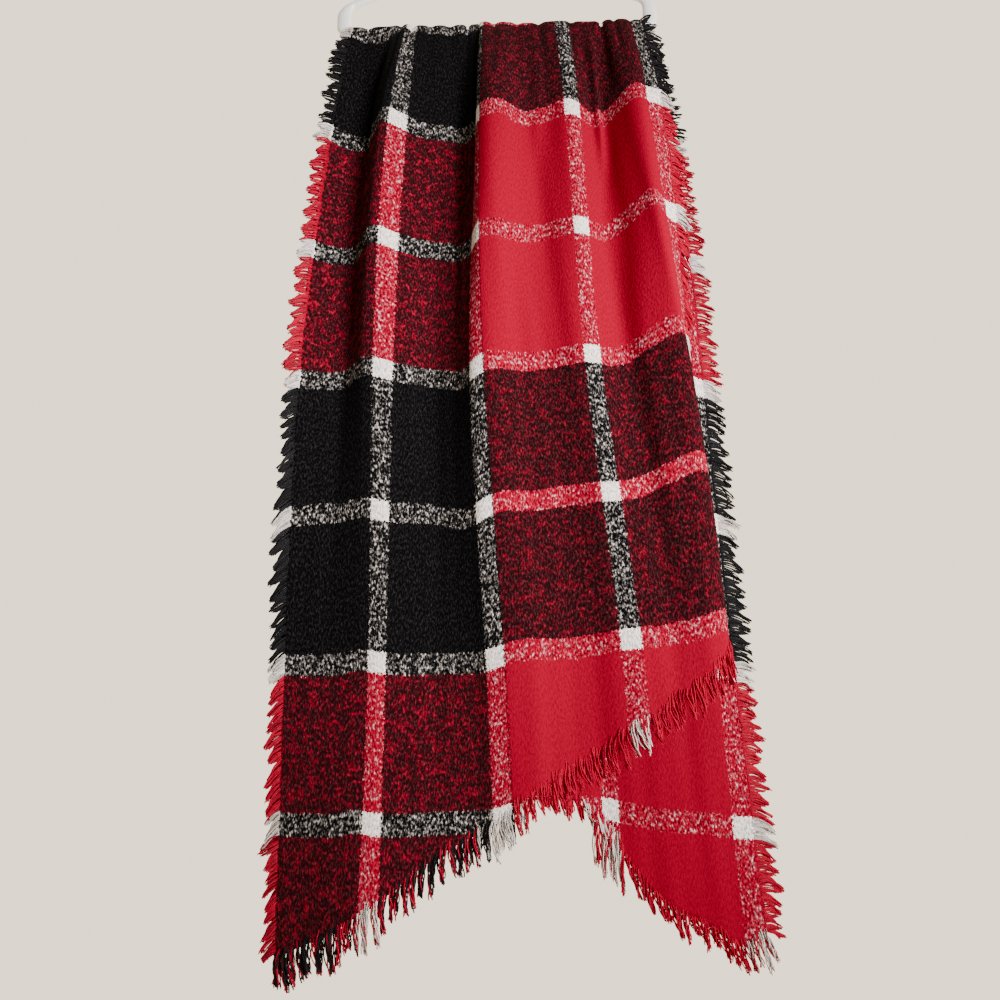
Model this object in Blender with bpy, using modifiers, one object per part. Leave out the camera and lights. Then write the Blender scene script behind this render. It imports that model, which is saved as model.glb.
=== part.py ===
"""A woven blanket scarf with fringed edges, hung over the bottom bar of a plastic tube hanger.

Frame: metres, +Z up, the front of the scarf towards -Y. The origin is the inside top of the
hanger's hook, where a closet rail would carry it. The tables of the drape are in centimetres.
"""

import math
from typing import NamedTuple

import bmesh
import bpy
import numpy as np
from mathutils import Matrix, Vector

CM = 0.01
COLLECTION = "blanket_scarf_on_hanger"

# Cloth, in centimetres: cut width, wall, and the two slanted ends. A point of the cloth is
# known by its distance across from the left selvedge and its distance along the warp from
# the weft line that crosses the bar.
CLOTH_WIDTH = 58.9
CLOTH_WALL = 0.25
FRONT_LONG_SIDE = 112.7
BACK_LONG_SIDE = 112.0
END_SLANT = 0.48
SEAM_GAP = 0.05

# Hanger, in metres.
TUBE_RADIUS = 0.0047
BAR_DROP = 0.21
BAR_HALF_LENGTH = 0.196
FOOT_RADIUS = 0.01
BEND_RADIUS = 0.0235
END_HALF_WIDTH = 0.0096
SHOULDER_SLOPE = math.radians(23.5)
NECK_RADIUS = 0.022
HOOK_RADIUS = 0.0257
HOOK_TIP_ANGLE = math.radians(205)
HOOK_THROAT_ANGLE = math.radians(-48)
SHANK_TOP = -0.074
TUBE_SIDES = 10
# No side of one tube lies flat in a side of the other where the hook meets the neck.
RING_TURN = Matrix.Rotation(math.radians(9), 4, "Z")

# How the cloth leaves the bar, in centimetres.
BAR_WRAP = 0.635
LEAVING_LENGTH = 6.5
RISE_LENGTH = 4.0
LEVEL_LEFT = -1.2
LEVEL_RIGHT = 2.6
LEVEL_TURN = 25.0
BACK_TAKE_UP = 1.2
BACK_TAKE_LENGTH = 8.0
BACK_SAG = 0.024
SETTLE_START = 45.0
SETTLE_LENGTH = 40.0
HITCH_START = 10.0
HITCH_END = 62.0
HITCH_BLEND = 22.0

# Fringe, in centimetres.
FRINGE_WALL = 0.14
STRIP_WIDTH = 0.4
STRAND_TIP = 0.4
SIDE_START_ROW = 7


class Fringe(NamedTuple):
    """One kind of fringe: the slit that parts it from the cloth, the width of a cell of its
    strip, the length of its strands, how far they turn from straight out of the edge to
    straight down (0 to 1), and the places of their cross-sections along their length."""

    gap: float
    cell: float
    length: float
    hang: float
    shares: tuple


SIDE_FRINGE = Fringe(0.05, 1.25, 1.5, 0.4, (1.0,))
HEM_FRINGE = Fringe(0.065, 1.1, 3.0, 0.2, (0.5, 1.0))


class Crest(NamedTuple):
    """A fold line where it crosses the bar: its place across the cloth, its place along the
    bar, how far it stands up off the bar, how far the warp is pulled over the bar there, how
    far the cloth is held up, as by a crumple, in the upper half of the fall, and how much
    longer than its straight slant the front and the back end is cut there."""

    name: str
    across: float
    side: float
    rise: float
    pull: float
    hitch: float
    front_end: float
    back_end: float


class Hang(NamedTuple):
    """The same fold line down one layer: left or right of the hook at four drops, and the
    distance from the hanger's plane at the bar and at those drops."""

    name: str
    side_upper: float
    side_middle: float
    side_low: float
    side_hem: float
    out_bar: float
    out_upper: float
    out_middle: float
    out_low: float
    out_hem: float


DROPS = (0.0, 16.0, 50.0, 84.0, 116.0)

CRESTS = (
    Crest("left edge", 0.0, -19.4, 0.0, -0.3, 0.1, 0.0, -0.6),
    Crest("left valley", 6.2, -14.3, 0.0, -0.6, 1.1, 0.7, 0.5),
    Crest("left ridge", 9.2, -12.6, 0.3, 0.5, 0.3, 1.1, 0.0),
    Crest("left slope", 12.6, -10.8, 0.1, 0.5, 0.2, 0.6, 0.0),
    Crest("black shelf", 19.6, -5.4, 0.0, 0.1, 0.3, -0.6, 0.0),
    Crest("deep valley", 24.2, -2.9, 0.0, 0.5, -0.8, -0.3, 0.0),
    Crest("sharp ridge", 28.3, -1.8, 0.4, 0.3, 0.0, 0.1, 0.0),
    Crest("centre ridge", 31.6, 0.6, 0.3, 0.1, 0.0, 0.0, -1.0),
    Crest("centre valley", 36.8, 4.3, 0.0, 0.0, 0.6, 0.0, -3.0),
    Crest("stripe ridge", 42.3, 8.4, 0.2, 0.2, -0.1, 0.0, -1.6),
    Crest("right valley", 47.2, 12.2, 0.0, -1.0, 1.2, 0.0, 1.1),
    Crest("right ridge", 53.4, 16.0, 0.3, 0.1, 1.7, 0.0, 0.9),
    Crest("edge roll", 55.8, 17.4, 0.2, 0.0, 0.9, 0.0, 0.8),
    Crest("right edge", 58.9, 19.3, 0.0, 0.0, 0.2, 0.0, -2.0),
)

FRONT_HANG = (
    Hang("left edge", -21.4, -24.8, -25.9, -26.1, 2.2, 2.8, 3.0, 1.9, 1.6),
    Hang("left valley", -16.1, -19.2, -20.4, -20.9, 0.9, 0.9, 0.9, 2.0, 3.2),
    Hang("left ridge", -14.9, -17.2, -17.5, -18.5, 3.4, 4.0, 3.0, 2.7, 4.0),
    Hang("left slope", -12.1, -13.9, -14.6, -15.4, 2.7, 3.0, 2.7, 2.7, 3.9),
    Hang("black shelf", -5.6, -8.2, -8.3, -8.9, 1.2, 1.3, 0.8, 1.6, 2.4),
    Hang("deep valley", -3.0, -5.3, -4.6, -4.5, 1.2, 1.7, 2.6, 2.2, 2.0),
    Hang("sharp ridge", -2.5, -2.8, -1.2, -0.6, 3.4, 4.4, 4.4, 3.2, 2.4),
    Hang("centre ridge", 0.0, 0.3, 2.0, 2.4, 3.8, 4.8, 3.8, 3.0, 2.4),
    Hang("centre valley", 4.0, 4.9, 6.9, 7.3, 2.0, 2.0, 2.4, 1.9, 1.6),
    Hang("stripe ridge", 9.2, 10.1, 12.8, 13.2, 2.7, 3.2, 3.2, 3.0, 2.4),
    Hang("right valley", 12.6, 14.3, 17.4, 18.0, 0.9, 0.8, 1.4, 2.6, 2.8),
    Hang("right ridge", 16.9, 20.6, 22.9, 23.2, 3.2, 4.0, 3.6, 2.8, 2.8),
    Hang("edge roll", 18.2, 21.6, 23.8, 24.0, 3.2, 3.8, 2.3, 1.5, 1.5),
    Hang("right edge", 20.9, 21.9, 22.4, 22.6, 2.0, 2.4, 0.9, 0.5, 0.5),
)

BACK_HANG = (
    Hang("left edge", -20.6, -22.2, -23.2, -23.4, 2.4, 2.8, 2.6, 2.2, 2.0),
    Hang("left valley", -15.6, -17.1, -17.6, -17.6, 1.0, 1.1, 1.3, 1.6, 1.8),
    Hang("left ridge", -14.0, -15.0, -15.0, -15.0, 2.8, 3.6, 3.0, 2.4, 2.2),
    Hang("left slope", -11.4, -12.2, -12.2, -12.2, 2.4, 2.6, 2.0, 2.0, 2.0),
    Hang("black shelf", -5.6, -6.4, -6.3, -6.2, 1.1, 1.2, 1.5, 2.2, 2.2),
    Hang("deep valley", -3.0, -3.2, -2.6, -2.4, 1.0, 1.2, 3.0, 2.8, 2.4),
    Hang("sharp ridge", -1.4, -0.6, 0.2, 0.6, 2.8, 3.8, 2.8, 2.2, 2.0),
    Hang("centre ridge", 1.0, 1.9, 2.6, 2.8, 2.6, 3.0, 1.6, 1.4, 1.6),
    Hang("centre valley", 4.9, 5.6, 6.2, 6.2, 1.2, 1.2, 1.6, 1.8, 1.8),
    Hang("stripe ridge", 8.8, 9.6, 10.0, 10.2, 2.4, 3.4, 3.0, 2.6, 2.4),
    Hang("right valley", 12.9, 14.0, 14.6, 14.8, 1.0, 1.2, 1.8, 2.0, 1.9),
    Hang("right ridge", 17.8, 19.6, 20.2, 20.8, 2.2, 3.0, 2.4, 1.6, 1.6),
    Hang("edge roll", 19.8, 21.7, 22.4, 23.2, 2.0, 2.4, 1.9, 1.4, 1.6),
    Hang("right edge", 22.4, 24.5, 25.4, 26.6, 1.8, 2.0, 2.0, 1.8, 1.9),
)

# Rows of the cloth's mesh: close together round the bar, then even down to the hem.
WRAP_ROWS = (SEAM_GAP / 2, 0.09, 0.32, 0.56, 0.80, 1.05, 1.7, 3.0, 5.2, 8.4, 12.5)
FALL_ROWS = 15
COLUMNS_PER_FOLD = 3

# Path lengths at which the fall below the bar is added up: finer where it bends.
FALL_STEPS = np.concatenate(
    [np.arange(0.0, 3.0, 0.1), np.arange(3.0, 12.0, 0.5), np.arange(12.0, 126.0, 1.0)]
)


def spline_weights(knots, at):
    """Weights of a natural cubic spline: one column for each knot, one row for each place."""
    knots = np.asarray(knots, float)
    count = len(knots)
    gap = np.diff(knots)
    system = np.eye(count)
    slope_change = np.zeros((count, count))
    for i in range(1, count - 1):
        system[i, i - 1 : i + 2] = gap[i - 1], 2 * (gap[i - 1] + gap[i]), gap[i]
        slope_change[i, i - 1 : i + 2] = 6 / gap[i - 1], -6 / gap[i - 1] - 6 / gap[i], 6 / gap[i]
    curvature = np.linalg.solve(system, slope_change)
    at = np.asarray(at, float)
    left = np.clip(np.searchsorted(knots, at) - 1, 0, count - 2)
    span = gap[left][..., None]
    after = (at - knots[left])[..., None]
    before = span - after
    unit = np.eye(count)
    return (
        unit[left] * before / span
        + unit[left + 1] * after / span
        + curvature[left] * (before**3 / span - span * before) / 6
        + curvature[left + 1] * (after**3 / span - span * after) / 6
    )


def smooth_step(t):
    """0 below 0, 1 above 1, and a smooth ramp between."""
    t = np.clip(t, 0.0, 1.0)
    return t * t * (3 - 2 * t)


class Layer:
    """One fall of the cloth: the front one has facing 1, the back one -1."""

    def __init__(self, facing):
        self.facing = facing
        hang = FRONT_HANG if facing > 0 else BACK_HANG
        self.sides = np.array(
            [
                (c.side, h.side_upper, h.side_middle, h.side_low, h.side_hem)
                for c, h in zip(CRESTS, hang)
            ]
        )
        self.outs = np.array(
            [(h.out_bar, h.out_upper, h.out_middle, h.out_low, h.out_hem) for h in hang]
        )

    def crest(self, across, field):
        """A value of the crest table, read smoothly across the cloth."""
        weights = spline_weights([c.across for c in CRESTS], across)
        return weights @ np.array([getattr(c, field) for c in CRESTS])

    def tilt(self, across):
        """How far into the slanting right part of the weft lines a place lies, 0 to 1."""
        return np.clip((across - LEVEL_TURN) / (CLOTH_WIDTH - LEVEL_TURN), 0.0, 1.0)

    def level(self, across):
        """Distance along the warp from weft line 0 to the bar's top."""
        base = LEVEL_LEFT + (LEVEL_RIGHT - LEVEL_LEFT) * self.tilt(across)
        return base + self.crest(across, "pull")

    def hem_drop(self, across):
        """Path from the bar's top to the slanted end."""
        if self.facing > 0:
            end = FRONT_LONG_SIDE - END_SLANT * across + self.crest(across, "front_end")
            return end - self.level(across)
        end = BACK_LONG_SIDE - END_SLANT * (CLOTH_WIDTH - across) + self.crest(across, "back_end")
        end += self.level(across)
        return end - BACK_TAKE_UP * self.tilt(across)

    def section(self, across, path):
        """Sideways place and depth of the cloth for arrays of places across and paths down."""
        fold_weights = spline_weights([c.across for c in CRESTS], across)
        drop_weights = spline_weights(DROPS, path)
        side = np.einsum("nml,ln->nm", drop_weights, self.sides.T @ fold_weights.T)
        out = np.einsum("nml,ln->nm", drop_weights, self.outs.T @ fold_weights.T)
        share = np.clip((out - BAR_WRAP) / (LEAVING_LENGTH - BAR_WRAP), 0.0, 0.97)
        wrap = BAR_WRAP * np.sin(np.minimum(path / BAR_WRAP, math.pi / 2))
        leave = LEAVING_LENGTH * (1 - np.exp(-path / LEAVING_LENGTH))
        return side, -self.facing * ((1 - share) * wrap + share * leave)

    def points(self, across, path):
        """Mid-wall points in centimetres; across has n places, path has n rows of paths."""
        across = np.asarray(across, float)
        steps = np.broadcast_to(FALL_STEPS, (len(across), len(FALL_STEPS)))
        side, depth = self.section(across, steps)
        run = np.diff(FALL_STEPS)
        lean = (np.diff(side, axis=1) / run) ** 2 + (np.diff(depth, axis=1) / run) ** 2
        fall = np.sqrt(np.clip(1 - lean, 0.0, 1.0)) * run
        drop = np.concatenate([np.zeros((len(across), 1)), np.cumsum(fall, axis=1)], axis=1)
        side, depth, drop = (
            np.array([np.interp(p, FALL_STEPS, row) for p, row in zip(path, table)])
            for table in (side, depth, drop)
        )
        if self.facing < 0:
            drop = drop * (1 + BACK_SAG * self.tilt(across)[:, None])
        rise = np.maximum(self.crest(across, "rise"), 0.0)[:, None] * np.exp(-path / RISE_LENGTH)
        settled = smooth_step((path - SETTLE_START) / SETTLE_LENGTH)
        settle = self.facing * self.crest(across, "pull")[:, None] * settled
        onset = smooth_step((path - HITCH_START) / HITCH_BLEND)
        release = smooth_step((path - HITCH_END) / HITCH_BLEND)
        hitch = self.crest(across, "hitch")[:, None] * onset * (1 - release)
        top = -BAR_DROP / CM + BAR_WRAP
        return np.stack([side, depth, top + rise - drop - settle + hitch], axis=-1)


def cloth_columns():
    """Places across the cloth: each stretch between two fold lines is cut into equal steps."""
    places = [c.across for c in CRESTS]
    columns = []
    for start, end in zip(places, places[1:]):
        columns += [start + (end - start) * k / COLUMNS_PER_FOLD for k in range(COLUMNS_PER_FOLD)]
    return np.array(columns + [places[-1]])


def cloth_grid(layer):
    """The layer's mid-wall points: a row of the array for each column of the cloth."""
    across = cloth_columns()
    hem = layer.hem_drop(across)
    last_wrap = WRAP_ROWS[-1]
    shares = np.arange(1, FALL_ROWS + 1) / FALL_ROWS
    path = np.array([list(WRAP_ROWS) + list(last_wrap + shares * (end - last_wrap)) for end in hem])
    return layer.points(across, path) * CM


def make_material(name, colour, roughness):
    """A Principled material of one colour."""
    material = bpy.data.materials.new(name)
    material.use_nodes = True
    shader = material.node_tree.nodes["Principled BSDF"]
    shader.inputs["Base Color"].default_value = (*colour, 1.0)
    shader.inputs["Roughness"].default_value = roughness
    shader.inputs["Metallic"].default_value = 0.0
    return material


def link_mesh(name, bm, material, collection):
    """Turns a bmesh into a named object in the collection."""
    mesh = bpy.data.meshes.new(name)
    bm.to_mesh(mesh)
    bm.free()
    mesh.materials.append(material)
    obj = bpy.data.objects.new(name, mesh)
    collection.objects.link(obj)
    return obj


def add_wall(obj, thickness):
    """Gives an open surface a wall, half to each side of it."""
    wall = obj.modifiers.new("wall", "SOLIDIFY")
    wall.thickness = thickness * CM
    wall.offset = 0.0
    wall.use_rim = True


def surface_from_grid(grid):
    """A bmesh surface whose vertices lie at the grid's points."""
    columns, rows = grid.shape[:2]
    bm = bmesh.new()
    bmesh.ops.create_grid(bm, x_segments=columns - 1, y_segments=rows - 1, size=1.0)
    for vertex in bm.verts:
        column = round((vertex.co.x + 1) / 2 * (columns - 1))
        row = round((1 - vertex.co.y) / 2 * (rows - 1))
        vertex.co = Vector(grid[column, row])
    return bm


def build_cloth(name, grid, facing, material, collection):
    """One fall of the cloth, with its outer side turned away from the hanger."""
    bm = surface_from_grid(grid)
    if facing < 0:
        bmesh.ops.reverse_faces(bm, faces=bm.faces[:])
    obj = link_mesh(name, bm, material, collection)
    obj.data.shade_smooth()
    add_wall(obj, CLOTH_WALL)
    return obj


def outward(edge, inner):
    """Unit directions that run on from the cloth's threads where they reach its edge."""
    away = edge - inner
    return away / np.linalg.norm(away, axis=1, keepdims=True)


def cell_counts(line, cell):
    """How many cells of about one length fit in each stretch of a line of points."""
    lengths = np.linalg.norm(np.diff(line, axis=0), axis=1)
    return [max(1, round(length / (cell * CM))) for length in lengths]


def divided(line, counts):
    """A line of points with each stretch cut into its own number of equal steps."""
    points = [a + (b - a) * k / n for a, b, n in zip(line, line[1:], counts) for k in range(n)]
    return np.array(points + [line[-1]])


def uneven(index):
    """A repeatable number between -1 and 1 that differs from strand to strand."""
    return 0.6 * math.sin(2.399 * index) + 0.4 * math.sin(5.13 * index + 1.0)


def build_fringe(name, edge, inner, kind, material, collection):
    """A narrow strip along an edge of the cloth, with a tapered strand on every second cell."""
    counts = cell_counts(edge, kind.cell)
    away = divided(outward(edge, inner), counts)
    line = divided(edge, counts)
    near = line + away * (kind.gap * CM)
    far = near + away * (STRIP_WIDTH * CM)
    bm = bmesh.new()
    near_verts = [bm.verts.new(p) for p in near]
    far_verts = [bm.verts.new(p) for p in far]
    for i in range(len(line) - 1):
        bm.faces.new((near_verts[i], far_verts[i], far_verts[i + 1], near_verts[i + 1]))
    for i in range(1, len(line) - 2, 2):
        root = (far_verts[i], far_verts[i + 1])
        straight = Vector(away[i]) * (1 - kind.hang) + Vector((0.0, 0.0, -kind.hang))
        middle = (root[0].co + root[1].co) / 2
        half = (root[1].co - root[0].co) / 2
        reach = kind.length * CM * (1 + 0.15 * uneven(3 * i + 1))
        course = straight.normalized() * reach + half * (0.8 * uneven(i))
        edge_pair = root
        for share in kind.shares:
            narrowing = 1 + (STRAND_TIP - 1) * share
            centre = middle + course * share
            pair = (bm.verts.new(centre - half * narrowing), bm.verts.new(centre + half * narrowing))
            bm.faces.new((edge_pair[0], pair[0], pair[1], edge_pair[1]))
            edge_pair = pair
    bmesh.ops.recalc_face_normals(bm, faces=bm.faces[:])
    obj = link_mesh(name, bm, material, collection)
    add_wall(obj, FRINGE_WALL)
    return obj


def arc_points(centre, radius, start, end, count):
    """Points on an arc in the hanger's plane, from one angle to another."""
    angles = [start + (end - start) * k / (count - 1) for k in range(count)]
    return [Vector((centre[0] + radius * math.cos(a), 0.0, centre[1] + radius * math.sin(a))) for a in angles]


def tube_mesh(name, points, half_widths, closed, collection):
    """A tube along a line in the hanger's plane, as a closed mesh object.

    It is as deep as the tube is thick, and each point has its own half width in the plane."""
    bm = bmesh.new()
    rings = []
    depth = Vector((0.0, 1.0, 0.0))
    for i, (point, half_width) in enumerate(zip(points, half_widths)):
        before = points[i - 1] if closed or i > 0 else point
        after = points[(i + 1) % len(points)] if closed or i < len(points) - 1 else point
        tangent = (after - before).normalized()
        basis = Matrix((depth.cross(tangent), depth, tangent)).transposed().to_4x4()
        widen = Matrix.Diagonal((half_width / TUBE_RADIUS, 1.0, 1.0, 1.0)) @ RING_TURN
        ring = bmesh.ops.create_circle(bm, segments=TUBE_SIDES, radius=TUBE_RADIUS)["verts"]
        bmesh.ops.transform(bm, matrix=Matrix.Translation(point) @ basis @ widen, verts=ring)
        rings.append(list({edge for vertex in ring for edge in vertex.link_edges}))
    pairs = list(zip(rings, rings[1:])) + ([(rings[-1], rings[0])] if closed else [])
    for first, second in pairs:
        bmesh.ops.bridge_loops(bm, edges=first + second)
    if not closed:
        for ring in (rings[0], rings[-1]):
            bmesh.ops.edgeloop_fill(bm, edges=ring)
    bmesh.ops.recalc_face_normals(bm, faces=bm.faces[:])
    mesh = bpy.data.meshes.new(name)
    bm.to_mesh(mesh)
    bm.free()
    obj = bpy.data.objects.new(name, mesh)
    collection.objects.link(obj)
    return obj


def frame_line():
    """The closed line of bar, wide end bends, shoulders and rounded neck, with the half width
    of the tube at each of its points."""
    end_reach = BAR_HALF_LENGTH + FOOT_RADIUS
    foot = arc_points((BAR_HALF_LENGTH, FOOT_RADIUS - BAR_DROP), FOOT_RADIUS, -math.pi / 2, 0.0, 6)
    bend_centre = (end_reach - BEND_RADIUS, BEND_RADIUS - BAR_DROP)
    bend = arc_points(bend_centre, BEND_RADIUS, 0.0, math.pi / 2 - SHOULDER_SLOPE, 9)
    shoulder_start = bend[-1]
    neck_foot = NECK_RADIUS * math.sin(SHOULDER_SLOPE)
    foot_height = shoulder_start.z + (shoulder_start.x - neck_foot) * math.tan(SHOULDER_SLOPE)
    neck_centre = foot_height - NECK_RADIUS * math.cos(SHOULDER_SLOPE)
    neck = arc_points((0.0, neck_centre), NECK_RADIUS, math.pi / 2 - SHOULDER_SLOPE, math.pi / 2, 4)
    half = foot + bend + neck
    shares = [smooth_step(k / (len(foot) - 1)) for k in range(len(foot))]
    shares += [1 - smooth_step(k / (len(bend) - 1)) for k in range(len(bend))]
    shares += [0.0] * len(neck)
    widths = [TUBE_RADIUS + (END_HALF_WIDTH - TUBE_RADIUS) * float(share) for share in shares]
    mirrored = [Vector((-p.x, 0.0, p.z)) for p in reversed(half[:-1])]
    return half + mirrored, widths + list(reversed(widths[:-1]))


def hook_line(neck_height):
    """The line of the shank and hook, from the neck up and over to the tip."""
    centre = (0.0, -(HOOK_RADIUS - TUBE_RADIUS))
    hook = arc_points(centre, HOOK_RADIUS, HOOK_TIP_ANGLE, HOOK_THROAT_ANGLE, 22)
    throat = hook[-1]
    heading = Vector((math.sin(HOOK_THROAT_ANGLE), 0.0, -math.cos(HOOK_THROAT_ANGLE)))
    shank = Vector((0.0, 0.0, SHANK_TOP))
    bend = []
    pull = (throat - shank).length * 0.45
    for k in range(1, 8):
        t = k / 8
        a, b = throat + heading * pull, shank + Vector((0.0, 0.0, pull))
        bend.append(throat * (1 - t) ** 3 + a * 3 * t * (1 - t) ** 2 + b * 3 * t * t * (1 - t) + shank * t**3)
    return hook + bend + [shank, Vector((0.0, 0.0, neck_height))]


def build_hanger(material, collection):
    """The moulded hanger: frame and hook joined into one solid."""
    loop, half_widths = frame_line()
    stem = hook_line(max(p.z for p in loop))
    frame = tube_mesh("hanger", loop, half_widths, True, collection)
    hook = tube_mesh("hook", stem, [TUBE_RADIUS] * len(stem), False, collection)
    join = frame.modifiers.new("hook", "BOOLEAN")
    join.operation = "UNION"
    join.object = hook
    bpy.context.view_layer.update()
    evaluated = frame.evaluated_get(bpy.context.evaluated_depsgraph_get())
    joined = bpy.data.meshes.new_from_object(evaluated)
    frame.modifiers.clear()
    frame.data = joined
    frame.data.materials.clear()
    frame.data.materials.append(material)
    frame.data.shade_smooth()
    bpy.data.objects.remove(hook)
    return frame


def main():
    """Clears the scene and builds the scarf and its hanger."""
    for obj in list(bpy.data.objects):
        bpy.data.objects.remove(obj)
    collection = bpy.data.collections.new(COLLECTION)
    bpy.context.scene.collection.children.link(collection)
    red_wool = make_material("brushed_acrylic_red", (0.55, 0.01, 0.025), 0.95)
    black_wool = make_material("brushed_acrylic_black", (0.012, 0.011, 0.013), 0.95)
    plastic = make_material("white_moulded_plastic", (0.86, 0.86, 0.85), 0.35)
    for label, facing in (("front", 1), ("back", -1)):
        grid = cloth_grid(Layer(facing))
        build_cloth("cloth_" + label, grid, facing, red_wool, collection)
        hem, above_hem = grid[:, -1], grid[:, -2]
        build_fringe(f"fringe_{label}_hem", hem, above_hem, HEM_FRINGE, black_wool, collection)
        for side, column, inner in (("left", 0, 1), ("right", -1, -2)):
            edge = grid[column, SIDE_START_ROW:]
            beside = grid[inner, SIDE_START_ROW:]
            build_fringe(f"fringe_{label}_{side}", edge, beside, SIDE_FRINGE, black_wool, collection)
    build_hanger(plastic, collection)


main()
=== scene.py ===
"""A woven tartan blanket scarf with ravelled edges, hung over the bar of a plastic tube hanger.

The cloth is one rectangle-wide length with slanted ends. A point of it is known by how far it
lies across from the left selvedge and how far down its fall from the bar's top. The tables of
the drape are in centimetres, and everything that is built is in metres.
"""

import logging
import math
from dataclasses import astuple, dataclass, replace
from enum import Enum
from functools import partial
from typing import Callable, NamedTuple

import bmesh
import bpy
import numpy as np
from bpy.types import Material, Mesh, Node, NodeSocket, NodeTree, Object
from mathutils import Matrix, Vector
from mathutils.geometry import interpolate_bezier


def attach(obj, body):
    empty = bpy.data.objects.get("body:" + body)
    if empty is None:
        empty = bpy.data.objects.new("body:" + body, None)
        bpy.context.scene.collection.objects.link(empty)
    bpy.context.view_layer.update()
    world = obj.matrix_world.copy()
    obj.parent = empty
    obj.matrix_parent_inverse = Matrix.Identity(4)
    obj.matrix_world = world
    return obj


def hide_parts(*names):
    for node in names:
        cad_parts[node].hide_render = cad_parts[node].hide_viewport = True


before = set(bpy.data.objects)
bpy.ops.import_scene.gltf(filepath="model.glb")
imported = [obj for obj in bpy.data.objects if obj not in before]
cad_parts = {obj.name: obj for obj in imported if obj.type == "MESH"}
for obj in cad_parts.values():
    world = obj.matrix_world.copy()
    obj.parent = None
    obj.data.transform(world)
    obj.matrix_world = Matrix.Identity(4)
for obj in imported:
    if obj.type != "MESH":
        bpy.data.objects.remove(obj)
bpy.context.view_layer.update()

LOG = logging.getLogger("blanket_scarf")
CM = 0.01
MM = 0.001
Array = np.ndarray
Floats = tuple[float, ...]
Inputs = dict | tuple
Adder = Callable[..., NodeSocket]


class Side(Enum):
    """A fall of the cloth: in front of the hanger or behind it."""

    FRONT = 1
    BACK = -1


class Selvedge(Enum):
    """A long side of the cloth, seen from the front."""

    LEFT = 0
    RIGHT = 1


class Dye(Enum):
    """The yarn colours, as sRGB hex values."""

    BLACK = "#070607"
    RED = "#880020"
    WHITE = "#E2D7D1"


class Crest(NamedTuple):
    """A fold line where it crosses the bar: its place across the cloth, its place along the
    bar, how far it stands up off the bar, how far the warp is pulled over the bar there, how
    far the cloth is held up, as by a crumple, in the upper half of the fall, and how much
    longer than its straight slant the front and the back end is cut there."""

    name: str
    across: float
    side: float
    rise: float
    pull: float
    hitch: float
    front_end: float
    back_end: float


class Hang(NamedTuple):
    """The fold line of the same row down one fall: left or right of the hook at four drops,
    and the distance from the hanger's plane at the bar and at those drops."""

    sides: Floats
    outs: Floats


class Crease(NamedTuple):
    """A pleat, ridge or trough between the main folds: where it lies across at its top and
    its end, from which to which length of the fall it runs, how wide it is, and how far it
    stands out (less than nothing inwards)."""

    across_top: float
    across_end: float
    start: float
    end: float
    width: float
    height: float


class Ripple(NamedTuple):
    """A fine wave in the cloth: its height, its turns across and along, how far a slower wave
    sways it, that one's turns, and the share of the fall's own turn in the slow and the fine."""

    height: float
    across: float
    along: float
    sway: float
    sway_across: float
    sway_along: float
    sway_turn: float
    turn: float

    def at(self, wide: Array, reach: Array, turn: float) -> Array:
        """Works out the wave on a fall.

        Args:
            wide: places across the cloth.
            reach: lengths down the fall.
            turn: the fall's own turn.

        Returns:
            The height at each of them.
        """
        sway = np.sin(self.sway_across * wide + self.sway_along * reach + self.sway_turn * turn)
        phase = self.across * wide + self.along * reach + self.sway * sway + self.turn * turn
        return self.height * np.sin(phase)


DROPS = (0.0, 16.0, 50.0, 84.0, 116.0)

CRESTS = (
    Crest("left edge", 0.0, -19.4, 0.0, -0.3, 0.1, 0.0, -0.6),
    Crest("left valley", 6.2, -14.3, 0.0, -0.6, 1.1, 0.7, 0.5),
    Crest("left ridge", 9.2, -12.6, 0.3, 0.5, 0.3, 1.1, 0.0),
    Crest("left slope", 12.6, -10.8, 0.1, 0.5, 0.2, 0.6, 0.0),
    Crest("black shelf", 19.6, -5.4, 0.0, 0.1, 0.3, -0.6, 0.0),
    Crest("deep valley", 24.2, -2.9, 0.0, 0.5, -0.8, -0.3, 0.0),
    Crest("sharp ridge", 28.3, -1.8, 0.4, 0.3, 0.0, 0.1, 0.0),
    Crest("centre ridge", 31.6, 0.6, 0.3, 0.1, 0.0, 0.0, -1.0),
    Crest("centre valley", 36.8, 4.3, 0.0, 0.0, 0.6, 0.0, -3.0),
    Crest("stripe ridge", 42.3, 8.4, 0.2, 0.2, -0.1, 0.0, -1.6),
    Crest("right valley", 47.2, 12.2, 0.0, -1.0, 1.2, 0.0, 1.1),
    Crest("right ridge", 53.4, 16.0, 0.3, 0.1, 1.7, 0.0, 0.9),
    Crest("edge roll", 55.8, 17.4, 0.2, 0.0, 0.9, 0.0, 0.8),
    Crest("right edge", 58.9, 19.3, 0.0, 0.0, 0.2, 0.0, -2.0),
)

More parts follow.
